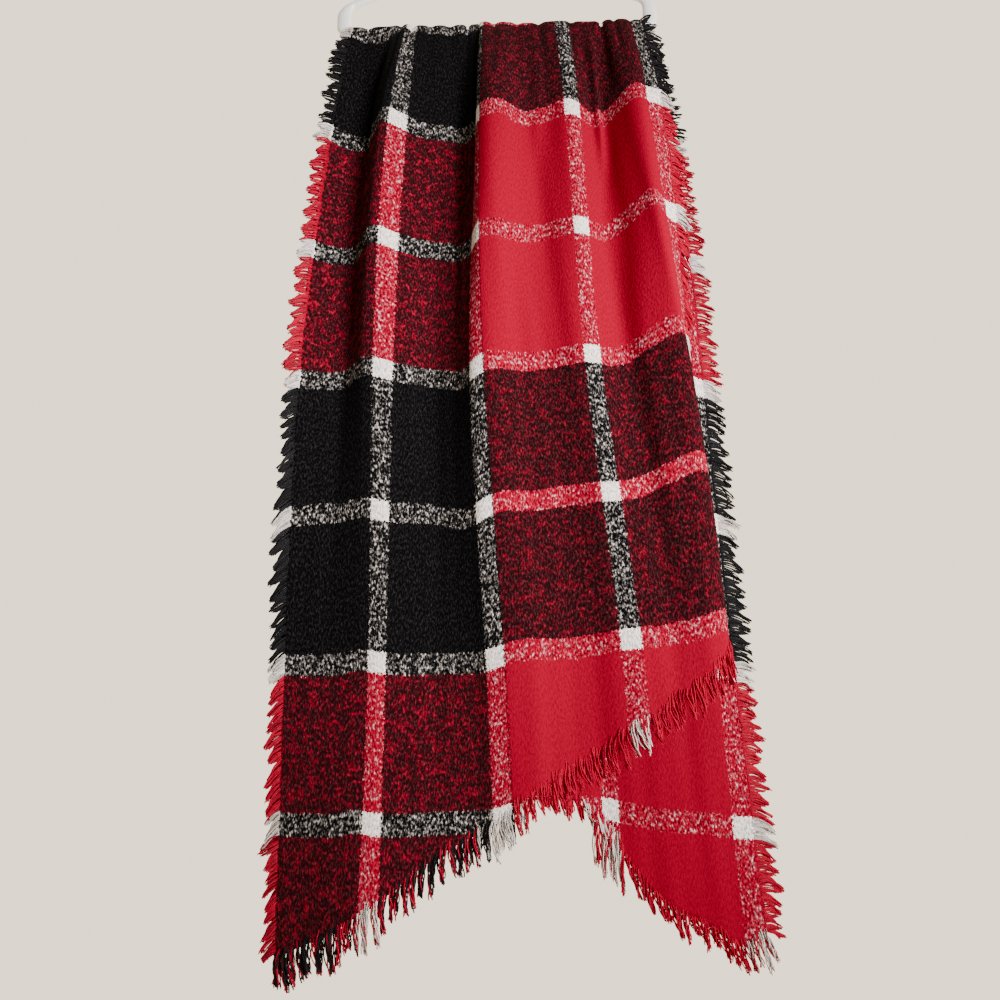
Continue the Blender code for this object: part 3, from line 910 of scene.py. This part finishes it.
@dataclass
class Cloth:
    """The woven length in one fine shell, from the front end over the bar to the back end."""

    finish: BrushedTartan
    wall: float = 2.0 * MM
    columns: int = 118
    fall_rows: int = 138
    wrap_rows: Floats = (0.15, 0.3, 0.45, 0.6, 0.75, 0.92, 1.15, 1.45, 1.8, 2.2, 2.7, 3.3)

    def reaches(self, fall: Fall) -> Array:
        """Works out the rows of a fall.

        Args:
            fall: the fall, at n places across.

        Returns:
            The lengths down from the bar's top, n by the number of rows.
        """
        shares = np.arange(1, self.fall_rows + 1) / self.fall_rows
        first = self.wrap_rows[-1]
        rows = [(*self.wrap_rows, *(first + shares * (end - first))) for end in fall.end()]
        return np.array(rows)

    def build(self) -> Object:
        """Builds the shell, its map of cloth metres and its material.

        Returns:
            The finished piece, which stands for both of the part's cloth solids.
        """
        across = np.linspace(0.0, WIDTH, self.columns + 1)
        points, places = [], []
        for side in Side:
            fall = Fall(side, across)
            reach = self.reaches(fall)
            if side is Side.FRONT:
                # The front fall is laid from its end up, and holds the row on the bar's top.
                reach = np.concatenate([np.zeros((len(across), 1)), reach], axis=1)[:, ::-1]
            points.append(fall.surface(reach)[0])
            places.append(fall.along(reach))
        grid = np.concatenate(points, axis=1)
        weave = np.concatenate(places, axis=1) * CM
        rows = grid.shape[1] - 1
        bm = bmesh.new()
        bmesh.ops.create_grid(bm, x_segments=self.columns, y_segments=rows, size=1.0)
        layer = bm.loops.layers.uv.new("weave")
        slots = {}
        for vertex in bm.verts:
            column = round((vertex.co.x + 1) / 2 * self.columns)
            row = round((vertex.co.y + 1) / 2 * rows)
            slots[vertex] = (across[column] * CM, weave[column, row])
            vertex.co = Vector(grid[column, row])
        for face in bm.faces:
            face.smooth = True
            for loop in face.loops:
                loop[layer].uv = slots[loop.vert]
        piece = link_piece("cloth", finished_mesh(bm, "cloth", self.finish.material()))
        shell = piece.modifiers.new("wall", "SOLIDIFY")
        shell.thickness = self.wall
        shell.offset = 0.0
        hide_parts("cloth_front", "cloth_back")
        return piece


class YarnBundle:
    """Loose yarns gathered into one mesh, each a short tapered run of 4-sided tube."""

    def __init__(self, name: str, thickness: float, materials: dict[Dye, Material]) -> None:
        """Starts an empty bundle.

        Args:
            name: the piece's name.
            thickness: the yarn's diameter, in metres.
            materials: the material of each dye.
        """
        self.name = name
        self.curve = bpy.data.curves.new(name, "CURVE")
        self.curve.dimensions = "3D"
        self.curve.bevel_depth = thickness / 2
        self.curve.bevel_resolution = 0
        self.curve.use_fill_caps = True
        for dye in Dye:
            self.curve.materials.append(materials[dye])

    def add(self, points: Array, dye: Dye, taper: float) -> None:
        """Adds one yarn.

        Args:
            points: its course, in metres.
            dye: its colour.
            taper: its thickness at the tip, as a share of that at the root.
        """
        yarn = self.curve.splines.new("POLY")
        yarn.points.add(len(points) - 1)
        for k, (slot, point) in enumerate(zip(yarn.points, points)):
            slot.co = (*point, 1.0)
            slot.radius = 1 + (taper - 1) * (k / (len(points) - 1)) ** 2
        yarn.material_index = list(Dye).index(dye)

    def build(self, node: str) -> Object:
        """Turns the bundle into a finished mesh piece.

        Args:
            node: the solid that it stands for.

        Returns:
            The piece.
        """
        guide = add_object(self.name + "_line", self.curve)
        bpy.context.view_layer.update()
        evaluated = guide.evaluated_get(bpy.context.evaluated_depsgraph_get())
        mesh = bpy.data.meshes.new_from_object(evaluated)
        bpy.data.objects.remove(guide)
        mesh.shade_smooth()
        piece = link_piece(self.name, mesh)
        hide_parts(node)
        return piece


@dataclass
class ClothEdge:
    """An edge of the cloth as rows of a table: places along it in centimetres, then points in
    metres with the way out of the edge, the way the yarns sink or sway, and the way off the
    cloth's face, and the distance of each point along the warp from weft line 0."""

    places: Array
    points: Array
    out: Array
    sway: Array
    face: Array
    along: Array

    def read(self, place: float, what: Array) -> Array:
        """Reads one column of the table between its rows."""
        return np.array([np.interp(place, self.places, column) for column in what.T])


@dataclass(frozen=True)
class Lock:
    """A lock of yarns that have gathered: lengths in centimetres and angles in degrees.

    The yarns leave the edge at one angle from the way out and end at another. They draw
    together towards the tip, late where hold is large, bow apart on the way, curl off the
    cloth and twist round the lock's middle. Inset is how far in from the edge they may
    start, and perk how far the first locks of the edge turn up."""

    spacing: float
    yarns: float
    length: float
    leave: float
    finish: float
    gather: float
    hold: float
    bow: float
    curl: float
    twist: float
    radius: float
    inset: float
    perk: float

    def blend(self, other: "Lock", share: float) -> "Lock":
        """Gives a lock between this one and another."""
        pairs = zip(astuple(self), astuple(other))
        return Lock(*(mine + (theirs - mine) * share for mine, theirs in pairs))


@dataclass
class Fringe:
    """The ravelled edges: weft ends down the long sides, warp ends along the two hems.

    Each edge has the lock that it starts with and the lock that it ends with."""

    finish: BrushedTartan
    yarn: float = 1.4 * MM
    hem_thicker: float = 1.1
    left: tuple[Lock, Lock] = (
        Lock(1.75, 32, 1.7, 0, 44, 0.24, 2.2, 0.06, 0.05, 0, 0.07, 0.3, 0),
        Lock(1.4, 27, 2.05, 28, 64, 0.36, 1.9, 0.1, 0.05, 0, 0.07, 0.3, 0),
    )
    right: tuple[Lock, Lock] = (
        Lock(1.1, 17, 2.05, -2, 34, 0.52, 1.8, 0.2, 0.05, 0, 0.08, 0.3, 55),
        Lock(1.25, 22, 2.3, 8, 50, 0.48, 1.8, 0.2, 0.05, 0, 0.08, 0.3, 0),
    )
    front_hem: tuple[Lock, Lock] = (
        Lock(0.8, 13, 2.9, -4, 12, 0.78, 0.7, 0, 0.03, 1.1, 0.14, 0.9, 0),
        Lock(0.75, 13, 2.4, -4, 14, 0.6, 1.2, 0, 0.02, 0.8, 0.12, 1.3, 0),
    )
    back_hem: tuple[Lock, Lock] = (
        Lock(0.8, 12, 2.1, -6, 10, 0.7, 1.3, 0, 0.03, 0.9, 0.13, 1, 0),
        Lock(0.8, 12, 2.3, 6, 26, 0.7, 1.3, 0, 0.03, 1.1, 0.13, 1, 0),
    )
    back_tuft: Lock = Lock(0.9, 16, 3.3, -10, 4, 0.66, 0.8, 0, 0.03, 0.8, 0.16, 2.4, 0)
    left_corner: Lock = Lock(0.5, 7, 3.2, -4, 22, 0.5, 0.8, 0, 0.03, 0.7, 0.1, 0.6, 0)
    right_corner: Lock = Lock(0.4, 5, 3, 12, 30, 0.6, 0.8, 0, 0.03, 0.7, 0.08, 0.6, 0)
    hem_span: Floats = (0.1, WIDTH - 0.15)
    back_tuft_span: Floats = (40.2, 43.7)
    left_corner_span: Floats = (0.1, 0.9)
    right_corner_span: Floats = (WIDTH - 0.7, WIDTH - 0.2)
    white_growth: float = 1.12
    side_steps: int = 8
    hem_steps: int = 11
    edge_inset: float = 0.1
    edge_start: float = 0.5
    side_step: float = 0.2
    hem_step: float = 0.1
    side_start: float = 0.6
    turn_power: float = 1.2
    coil_onset: float = 3.0
    wave: float = 0.06
    wave_turns: Floats = (7.0, 2.0)
    rest: float = 0.09
    rest_rise: float = 0.07
    rest_onset: float = 8.0
    change_start: float = 0.25
    change_length: float = 0.5
    perk_fade: float = 2.2
    inset_share: float = 0.6
    tongue: float = 1.04
    blunt: float = 0.14
    pointed: float = 0.38
    # How far chance takes a lock, and then one of its yarns, from what is said of it.
    lock_chance: Floats = (0.38, 9.0, 15.0, 0.2, 0.08)
    yarn_chance: Floats = (0.03, 3.0, 7.0, 0.4, 0.07, 0.04)
    inset_chance: Floats = (0.3, 1.0)
    outer_share: float = 0.6
    weft_share: float = 0.36
    tip_taper: float = 0.9

    def __post_init__(self) -> None:
        """Starts the repeatable chance that makes the locks uneven."""
        self.chance = np.random.default_rng(20)

    def dye(self, off: float, pitch: float, stripe: float, red: bool) -> Dye:
        """Gives a yarn's colour: white in a stripe, else black or red.

        Args:
            off: how far it lies from the middle of a stripe, in centimetres.
            pitch: the distance between stripes, in millimetres.
            stripe: their width, in millimetres.
            red: whether it is red where it isn't white.

        Returns:
            The dye.
        """
        if abs((off / (pitch / 10) + 0.5) % 1 - 0.5) < stripe / pitch / 2:
            return Dye.WHITE
        return Dye.RED if red else Dye.BLACK

    def weft_dye(self, along: float) -> Dye:
        """Gives the colour of the weft at a distance along the warp, in centimetres."""
        pitch, stripe = self.finish.weft_pitch, self.finish.weft_stripe
        return self.dye(along, pitch, stripe, abs(abs(along) / (pitch / 10) % 4 - 2) < 1)

    def warp_dye(self, across: float) -> Dye:
        """Gives the colour of the warp.

        Args:
            across: the distance across the cloth, in centimetres.

        Returns:
            The dye.
        """
        pitch, stripe = self.finish.warp_pitch, self.finish.warp_stripe
        off = across - self.finish.warp_first / 10
        return self.dye(off, pitch, stripe, across > self.finish.warp_turn / 10)

    def side_edge(self, side: Side, selvedge: Selvedge) -> ClothEdge:
        """Tabulates a long side of one fall, from near the bar to its end.

        Args:
            side: the fall.
            selvedge: the long side.

        Returns:
            The edge.
        """
        at_right = selvedge is Selvedge.RIGHT
        across = WIDTH - self.edge_inset if at_right else self.edge_inset
        fall = Fall(side, np.array([across]))
        places = np.arange(self.edge_start, float(fall.end()[0]) - self.edge_inset, self.side_step)
        points, face, weft, _ = fall.surface(places[None])
        out = weft[0] if at_right else -weft[0]
        down = np.broadcast_to([0.0, 0.0, -1.0], out.shape)
        return ClothEdge(places, points[0], out, down, face[0], fall.along(places[None])[0])

    def hem_edge(self, side: Side) -> ClothEdge:
        """Tabulates the slanted end of one fall, from the left to the right.

        Args:
            side: the fall.

        Returns:
            The edge.
        """
        places = np.arange(self.hem_step, WIDTH, self.hem_step)
        fall = Fall(side, places)
        reach = fall.end()[:, None] - self.edge_inset
        points, face, weft, warp = fall.surface(reach)
        rows = (points, warp, weft, face, fall.along(reach))
        return ClothEdge(places, *(row[:, 0] for row in rows))

    def uneven(self, amount: float) -> float:
        """Gives a chance number about 0, at most the amount either way."""
        return float(self.chance.uniform(-amount, amount))

    def course(
        self, edge: ClothEdge, place: float, middle: float, lock: Lock, length: float,
        lift: float, cover: float, phase: float, count: int
    ) -> Array:
        """Works out one yarn's course.

        Args:
            edge: the edge that it leaves.
            place: where it leaves it, in centimetres.
            middle: where the middle of its lock is.
            lock: how its lock is made, with its own angles and inset.
            length: its length, in centimetres.
            lift: how far it curls off the cloth's face, as a share of its length.
            cover: 1 where it lies over the cloth's outer face, -1 over the inner one.
            phase: where it lies round its lock, in radians.
            count: how many points it has.

        Returns:
            Its points, in metres.
        """
        steps = np.linspace(0.0, 1.0, count)
        heading = np.radians(lock.leave + (lock.finish - lock.leave) * steps**self.turn_power)
        run = length * CM / (count - 1)
        onward = np.concatenate([[0.0], np.cumsum(np.cos(heading[:-1]))])[:, None] * run
        aside = np.concatenate([[0.0], np.cumsum(np.sin(heading[:-1]))])[:, None] * run
        root = edge.read(place, edge.points)
        centre = edge.read(middle, edge.points)
        out, sway, face = (edge.read(middle, v) for v in (edge.out, edge.sway, edge.face))
        steps = steps[:, None]
        bow = lock.bow * np.sin(steps * math.pi)
        pull = (centre - root) * (lock.gather * steps**lock.hold - bow)
        turn = phase + lock.twist * 2 * math.pi * steps
        way = np.cos(turn) * sway + np.sin(turn) * face
        coil = lock.radius * CM * smooth_step(steps * self.coil_onset) * way
        turns, uneven = self.wave_turns
        wave = self.wave * CM * np.sin(steps * (turns + uneven * math.sin(phase)) + phase) * steps
        over = cover * CM * (self.rest + self.rest_rise * smooth_step(steps * self.rest_onset))
        off = lift * length * CM * steps + over
        start = root - out * lock.inset * CM
        return start + out * onward + sway * (aside + wave) + face * off + pull + coil

    def ravel(
        self, edge: ClothEdge, locks: tuple[Lock, Lock], span: Floats, bundle: YarnBundle,
        count: int, dye_at: Callable[[float], Dye]
    ) -> None:
        """Fills an edge with locks of yarn.

        Args:
            edge: the edge.
            locks: how its first and its last locks are made.
            span: where along the edge the first lock starts and the last one ends.
            bundle: what the yarns are added to.
            count: how many points each yarn has.
            dye_at: gives a yarn's dye from its place along the edge.
        """
        place, end = span
        wider, left, finished, longer, lifted = self.lock_chance
        moved, yarn_left, yarn_finished, yarn_inset, yarn_longer, yarn_lifted = self.yarn_chance
        while place < end:
            share = ((place - span[0]) / (end - span[0]) - self.change_start) / self.change_length
            lock = locks[0].blend(locks[1], float(smooth_step(share)))
            width = lock.spacing * (1 + self.uneven(wider))
            perk = lock.perk * math.exp((span[0] - place) / self.perk_fade)
            leave = lock.leave - perk + self.uneven(left)
            finish = lock.finish - perk + self.uneven(finished)
            middle = place + width / 2
            grown = self.white_growth if lock.twist and dye_at(middle) is Dye.WHITE else 1.0
            length = lock.length * grown * (1 + self.uneven(longer))
            lift = lock.curl + self.uneven(lifted)
            inset = lock.inset * float(self.chance.uniform(*self.inset_chance))
            yarns = round(lock.yarns * width / lock.spacing)
            # A lock that twists has a blunt tip, and its yarns go three times round it.
            twisted, loose = (self.blunt, 3, yarn_left), (self.pointed, 1, yarn_finished)
            round_tip, rounds, spread = twisted if lock.twist else loose
            for k in range(yarns):
                at = min(place + width * ((k + 0.5) / yarns + self.uneven(moved)), end)
                own = replace(
                    lock,
                    leave=leave + self.uneven(yarn_left),
                    finish=finish + self.uneven(spread),
                    inset=inset * (self.inset_share + self.uneven(yarn_inset)),
                )
                tongue = self.tongue - round_tip * (1 - math.sin(math.pi * (k + 0.5) / yarns))
                reach = length * tongue * (1 + self.uneven(yarn_longer)) + inset
                lifts = lift + self.uneven(yarn_lifted)
                cover = 1.0 if self.chance.uniform() < self.outer_share else -1.0
                phase = 2 * math.pi * k / yarns * rounds
                points = self.course(edge, at, middle, own, reach, lifts, cover, phase, count)
                bundle.add(points, dye_at(at), self.tip_taper)
            place += width

    def edge(self, side: Side, selvedge: Selvedge | None, materials: dict[Dye, Material]) -> Object:
        """Builds the fringe of one edge of one fall: weft ends down a long side, or warp ends
        along the slanted end, with a few weft ends.

        Args:
            side: the fall.
            selvedge: the long side, or None for the slanted end.
            materials: the material of each dye.

        Returns:
            The piece.
        """
        label = f"fringe_{side.name.lower()}_{selvedge.name.lower() if selvedge else 'hem'}"
        thickness = self.yarn * (1.0 if selvedge else self.hem_thicker)
        bundle = YarnBundle(label + "_yarns", thickness, materials)
        edge = self.side_edge(side, selvedge) if selvedge else self.hem_edge(side)

        def dye_at(at: float) -> Dye:
            """Gives a yarn's dye.

            Args:
                at: its place along the edge, in centimetres.

            Returns:
                The dye.
            """
            if selvedge or self.chance.uniform() < self.weft_share:
                return self.weft_dye(float(np.interp(at, edge.places, edge.along)))
            return self.warp_dye(at)

        if selvedge:
            locks = self.left if selvedge is Selvedge.LEFT else self.right
            runs = [(locks, (self.side_start, float(edge.places[-1]) - self.edge_inset))]
        elif side is Side.FRONT:
            corner = (self.left_corner,) * 2
            runs = [(self.front_hem, self.hem_span), (corner, self.left_corner_span)]
        else:
            tuft, corner = (self.back_tuft,) * 2, (self.right_corner,) * 2
            runs = [(self.back_hem, self.hem_span), (tuft, self.back_tuft_span)]
            runs.append((corner, self.right_corner_span))
        count = self.side_steps if selvedge else self.hem_steps
        for locks, span in runs:
            self.ravel(edge, locks, span, bundle, count, dye_at)
        return bundle.build(label)

    def build(self) -> list[Object]:
        """Builds all six fringes.

        Returns:
            The pieces.
        """
        materials = {dye: RavelledYarn(dye).material() for dye in Dye}
        edges = [(side, selvedge) for side in Side for selvedge in (None, *Selvedge)]
        return [self.edge(*edge, materials) for edge in edges]


@dataclass
class Hanger:
    """The moulded tube hanger: bar, end bends, shoulders, neck and hook, in metres."""

    finish: MouldedPlastic
    tube_radius: float = 0.0047
    bar_drop: float = 0.21
    bar_half_length: float = 0.196
    foot_radius: float = 0.01
    bend_radius: float = 0.0235
    end_half_width: float = 0.0096
    shoulder_slope: float = math.radians(23.5)
    neck_radius: float = 0.022
    hook_radius: float = 0.0257
    hook_tip: float = math.radians(205)
    hook_throat: float = math.radians(-48)
    shank_top: float = -0.074
    throat_pull: float = 0.45
    foot_points: int = 12
    bend_points: int = 20
    neck_points: int = 8
    hook_points: int = 40
    throat_points: int = 15
    sides: int = 20
    tip_bevel: float = 1.6 * MM

    def arc(
        self, centre: Floats, radius: float, start: float, end: float, count: int
    ) -> list[Vector]:
        """Gives points on an arc in the hanger's plane, from one angle to another."""
        angles = [start + (end - start) * k / (count - 1) for k in range(count)]
        return [Vector((math.cos(a), 0.0, math.sin(a))) * radius + Vector(centre) for a in angles]

    def frame_line(self) -> tuple[list[Vector], list[float]]:
        """Works out the closed line of bar, wide end bends, shoulders and rounded neck.

        Returns:
            Its points, and half the tube's width in the hanger's plane at each of them.
        """
        reach = self.bar_half_length + self.foot_radius
        slope, up = self.shoulder_slope, math.pi / 2
        centre = (self.bar_half_length, 0.0, self.foot_radius - self.bar_drop)
        foot = self.arc(centre, self.foot_radius, -up, 0.0, self.foot_points)
        centre = (reach - self.bend_radius, 0.0, self.bend_radius - self.bar_drop)
        bend = self.arc(centre, self.bend_radius, 0.0, up - slope, self.bend_points)
        start = bend[-1]
        neck_foot = self.neck_radius * math.sin(slope)
        foot_height = start.z + (start.x - neck_foot) * math.tan(slope)
        centre = (0.0, 0.0, foot_height - self.neck_radius * math.cos(slope))
        neck = self.arc(centre, self.neck_radius, up - slope, up, self.neck_points)
        half = foot + bend + neck
        shares = [smooth_step(k / (len(foot) - 1)) for k in range(len(foot))]
        shares += [1 - smooth_step(k / (len(bend) - 1)) for k in range(len(bend))]
        shares += [0.0] * len(neck)
        wider = self.end_half_width - self.tube_radius
        widths = [self.tube_radius + wider * float(share) for share in shares]
        other_half = [Vector((-p.x, 0.0, p.z)) for p in reversed(half[:-1])]
        return half + other_half, widths + widths[-2::-1]

    def hook_line(self, neck_height: float) -> list[Vector]:
        """Works out the line of the hook and shank.

        Args:
            neck_height: the height at which the shank ends, inside the neck.

        Returns:
            Its points, from the tip down.
        """
        centre = (0.0, 0.0, self.tube_radius - self.hook_radius)
        hook = self.arc(centre, self.hook_radius, self.hook_tip, self.hook_throat, self.hook_points)
        throat, shank = hook[-1], Vector((0.0, 0.0, self.shank_top))
        heading = Vector((math.sin(self.hook_throat), 0.0, -math.cos(self.hook_throat)))
        pull = (throat - shank).length * self.throat_pull
        first, second = throat + heading * pull, shank + Vector((0.0, 0.0, pull))
        bend = interpolate_bezier(throat, first, second, shank, self.throat_points + 2)[1:]
        return hook + bend + [Vector((0.0, 0.0, neck_height))]

    def tube(
        self, bm: bmesh.types.BMesh, line: list[Vector], half_widths: list[float], closed: bool
    ) -> None:
        """Sweeps the tube's section along a line in the hanger's plane.

        Args:
            bm: the mesh that it is added to.
            line: the tube's middle.
            half_widths: half the tube's width in the plane at each point.
            closed: True where the end meets the start.
        """
        count = len(line)
        rings = []
        depth = Vector((0.0, 1.0, 0.0))
        for i, (point, half_width) in enumerate(zip(line, half_widths)):
            before = line[i - 1] if closed or i else point
            after = line[(i + 1) % count] if closed or i < count - 1 else point
            circle = {"segments": self.sides, "radius": self.tube_radius}
            ring = bmesh.ops.create_circle(bm, **circle)["verts"]
            tangent = (after - before).normalized()
            basis = Matrix((depth.cross(tangent), depth, tangent)).transposed().to_4x4()
            widen = Matrix.Diagonal((half_width / self.tube_radius, 1.0, 1.0, 1.0))
            bmesh.ops.transform(bm, matrix=Matrix.Translation(point) @ basis @ widen, verts=ring)
            rings.append(list({e for v in ring for e in v.link_edges}))
        pairs = list(zip(rings, rings[1:])) + ([(rings[-1], rings[0])] if closed else [])
        for first, second in pairs:
            bmesh.ops.bridge_loops(bm, edges=first + second)
        if not closed:
            for ring in (rings[0], rings[-1]):
                bmesh.ops.edgeloop_fill(bm, edges=ring)

    def build(self) -> Object:
        """Builds the hanger as one smooth piece.

        Returns:
            The piece.
        """
        bm = bmesh.new()
        line, half_widths = self.frame_line()
        self.tube(bm, line, half_widths, True)
        stem = self.hook_line(max(p.z for p in line))
        self.tube(bm, stem, [self.tube_radius] * len(stem), False)
        bmesh.ops.recalc_face_normals(bm, faces=bm.faces[:])
        tip = [f for f in bm.faces if len(f.verts) > 4]
        rims = list({e for f in tip for e in f.edges})
        bmesh.ops.bevel(
            bm, geom=rims, offset=self.tip_bevel, segments=3, profile=0.5, affect="EDGES",
            material=-1
        )
        for face in bm.faces:
            face.smooth = True
        piece = link_piece("hanger_tube", finished_mesh(bm, "hanger_tube", self.finish.material()))
        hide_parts("hanger")
        return piece


@dataclass
class Studio:
    """A plain pale floor, a pale room, soft light from the right, and the camera."""

    floor_drop: float = 1.97
    floor_reach: float = 1.3
    floor_colour: str = "#E4E1D8"
    floor_roughness: float = 0.9
    room: str = "#FBEBD2"
    room_strength: float = 2.1
    near_strength: float = 0.34
    near_to_far: Floats = (-0.5, 0.6)
    window: Floats = (1.30, -1.35, -0.82)
    window_target: Floats = (0.0, 0.0, -0.70)
    window_size: float = 1.0
    window_power: float = 16.0
    spread: float = math.radians(58)
    eye: Floats = (-0.013, -0.871, -1.023)
    tilt: float = math.radians(101.0)
    roll: float = math.radians(-1.5)
    lens: float = 27.04

    def floor(self) -> None:
        """Lays the floor, which is matt paper, under the hung scarf."""
        bm = bmesh.new()
        bmesh.ops.create_grid(bm, x_segments=2, y_segments=2, size=self.floor_reach)
        bmesh.ops.translate(bm, verts=bm.verts[:], vec=(0.0, 0.0, -self.floor_drop))
        made, shader, _ = start_material("matt pale paper")
        looks = {"Base Color": linear_colour(self.floor_colour), "Roughness": self.floor_roughness}
        feed(made.node_tree, shader, looks)
        plane = add_object("floor", finished_mesh(bm, "floor", made))

    def light(self) -> None:
        """Sets a pale room, brighter behind the scarf, and a large soft window at the right."""
        world = bpy.data.worlds.new("pale room")
        world.use_nodes = True
        tree = world.node_tree
        way = add_node(tree, "SeparateXYZ", (add_node(tree, "TexCoord", out="Generated"),), 1)
        strengths = (way, *self.near_to_far, self.near_strength, self.room_strength)
        strength = add_node(tree, "MapRange", strengths, interpolation_type="SMOOTHSTEP")
        room = {"Color": linear_colour(self.room), "Strength": strength}
        feed(tree, tree.nodes["Background"], room)
        bpy.context.scene.world = world
        lamp = bpy.data.lights.new("window", "AREA")
        lamp.size = self.window_size
        lamp.energy = self.window_power
        lamp.spread = self.spread
        holder = add_object("window", lamp)
        holder.location = self.window
        heading = Vector(self.window_target) - Vector(self.window)
        holder.rotation_euler = heading.to_track_quat("-Z", "Y").to_euler()

    def camera(self) -> None:
        """Places the camera, a little below the scarf's middle and looking up at it."""
        data = bpy.data.cameras.new("camera")
        data.sensor_width = 36.0
        data.lens = self.lens
        holder = add_object("camera", data)
        turn = Matrix.Rotation(self.tilt, 4, "X") @ Matrix.Rotation(self.roll, 4, "Z")
        holder.matrix_world = Matrix.Translation(self.eye) @ turn
        bpy.context.scene.camera = holder

    def build(self) -> None:
        """Sets up floor, light and camera."""
        self.floor()
        self.light()
        self.camera()


def main() -> None:
    """Builds the scarf, its fringes, the hanger and the studio."""
    logging.basicConfig(level=logging.INFO, format="%(name)s: %(message)s")
    Studio().build()
    tartan = BrushedTartan()
    cloth = Cloth(tartan).build()
    fringes = Fringe(tartan).build()
    hanger = Hanger(MouldedPlastic()).build()
    for piece in (cloth, *fringes, hanger):
        LOG.info("%s: %d faces before its modifiers", piece.name, len(piece.data.polygons))


if __name__ == "__main__":
    main()
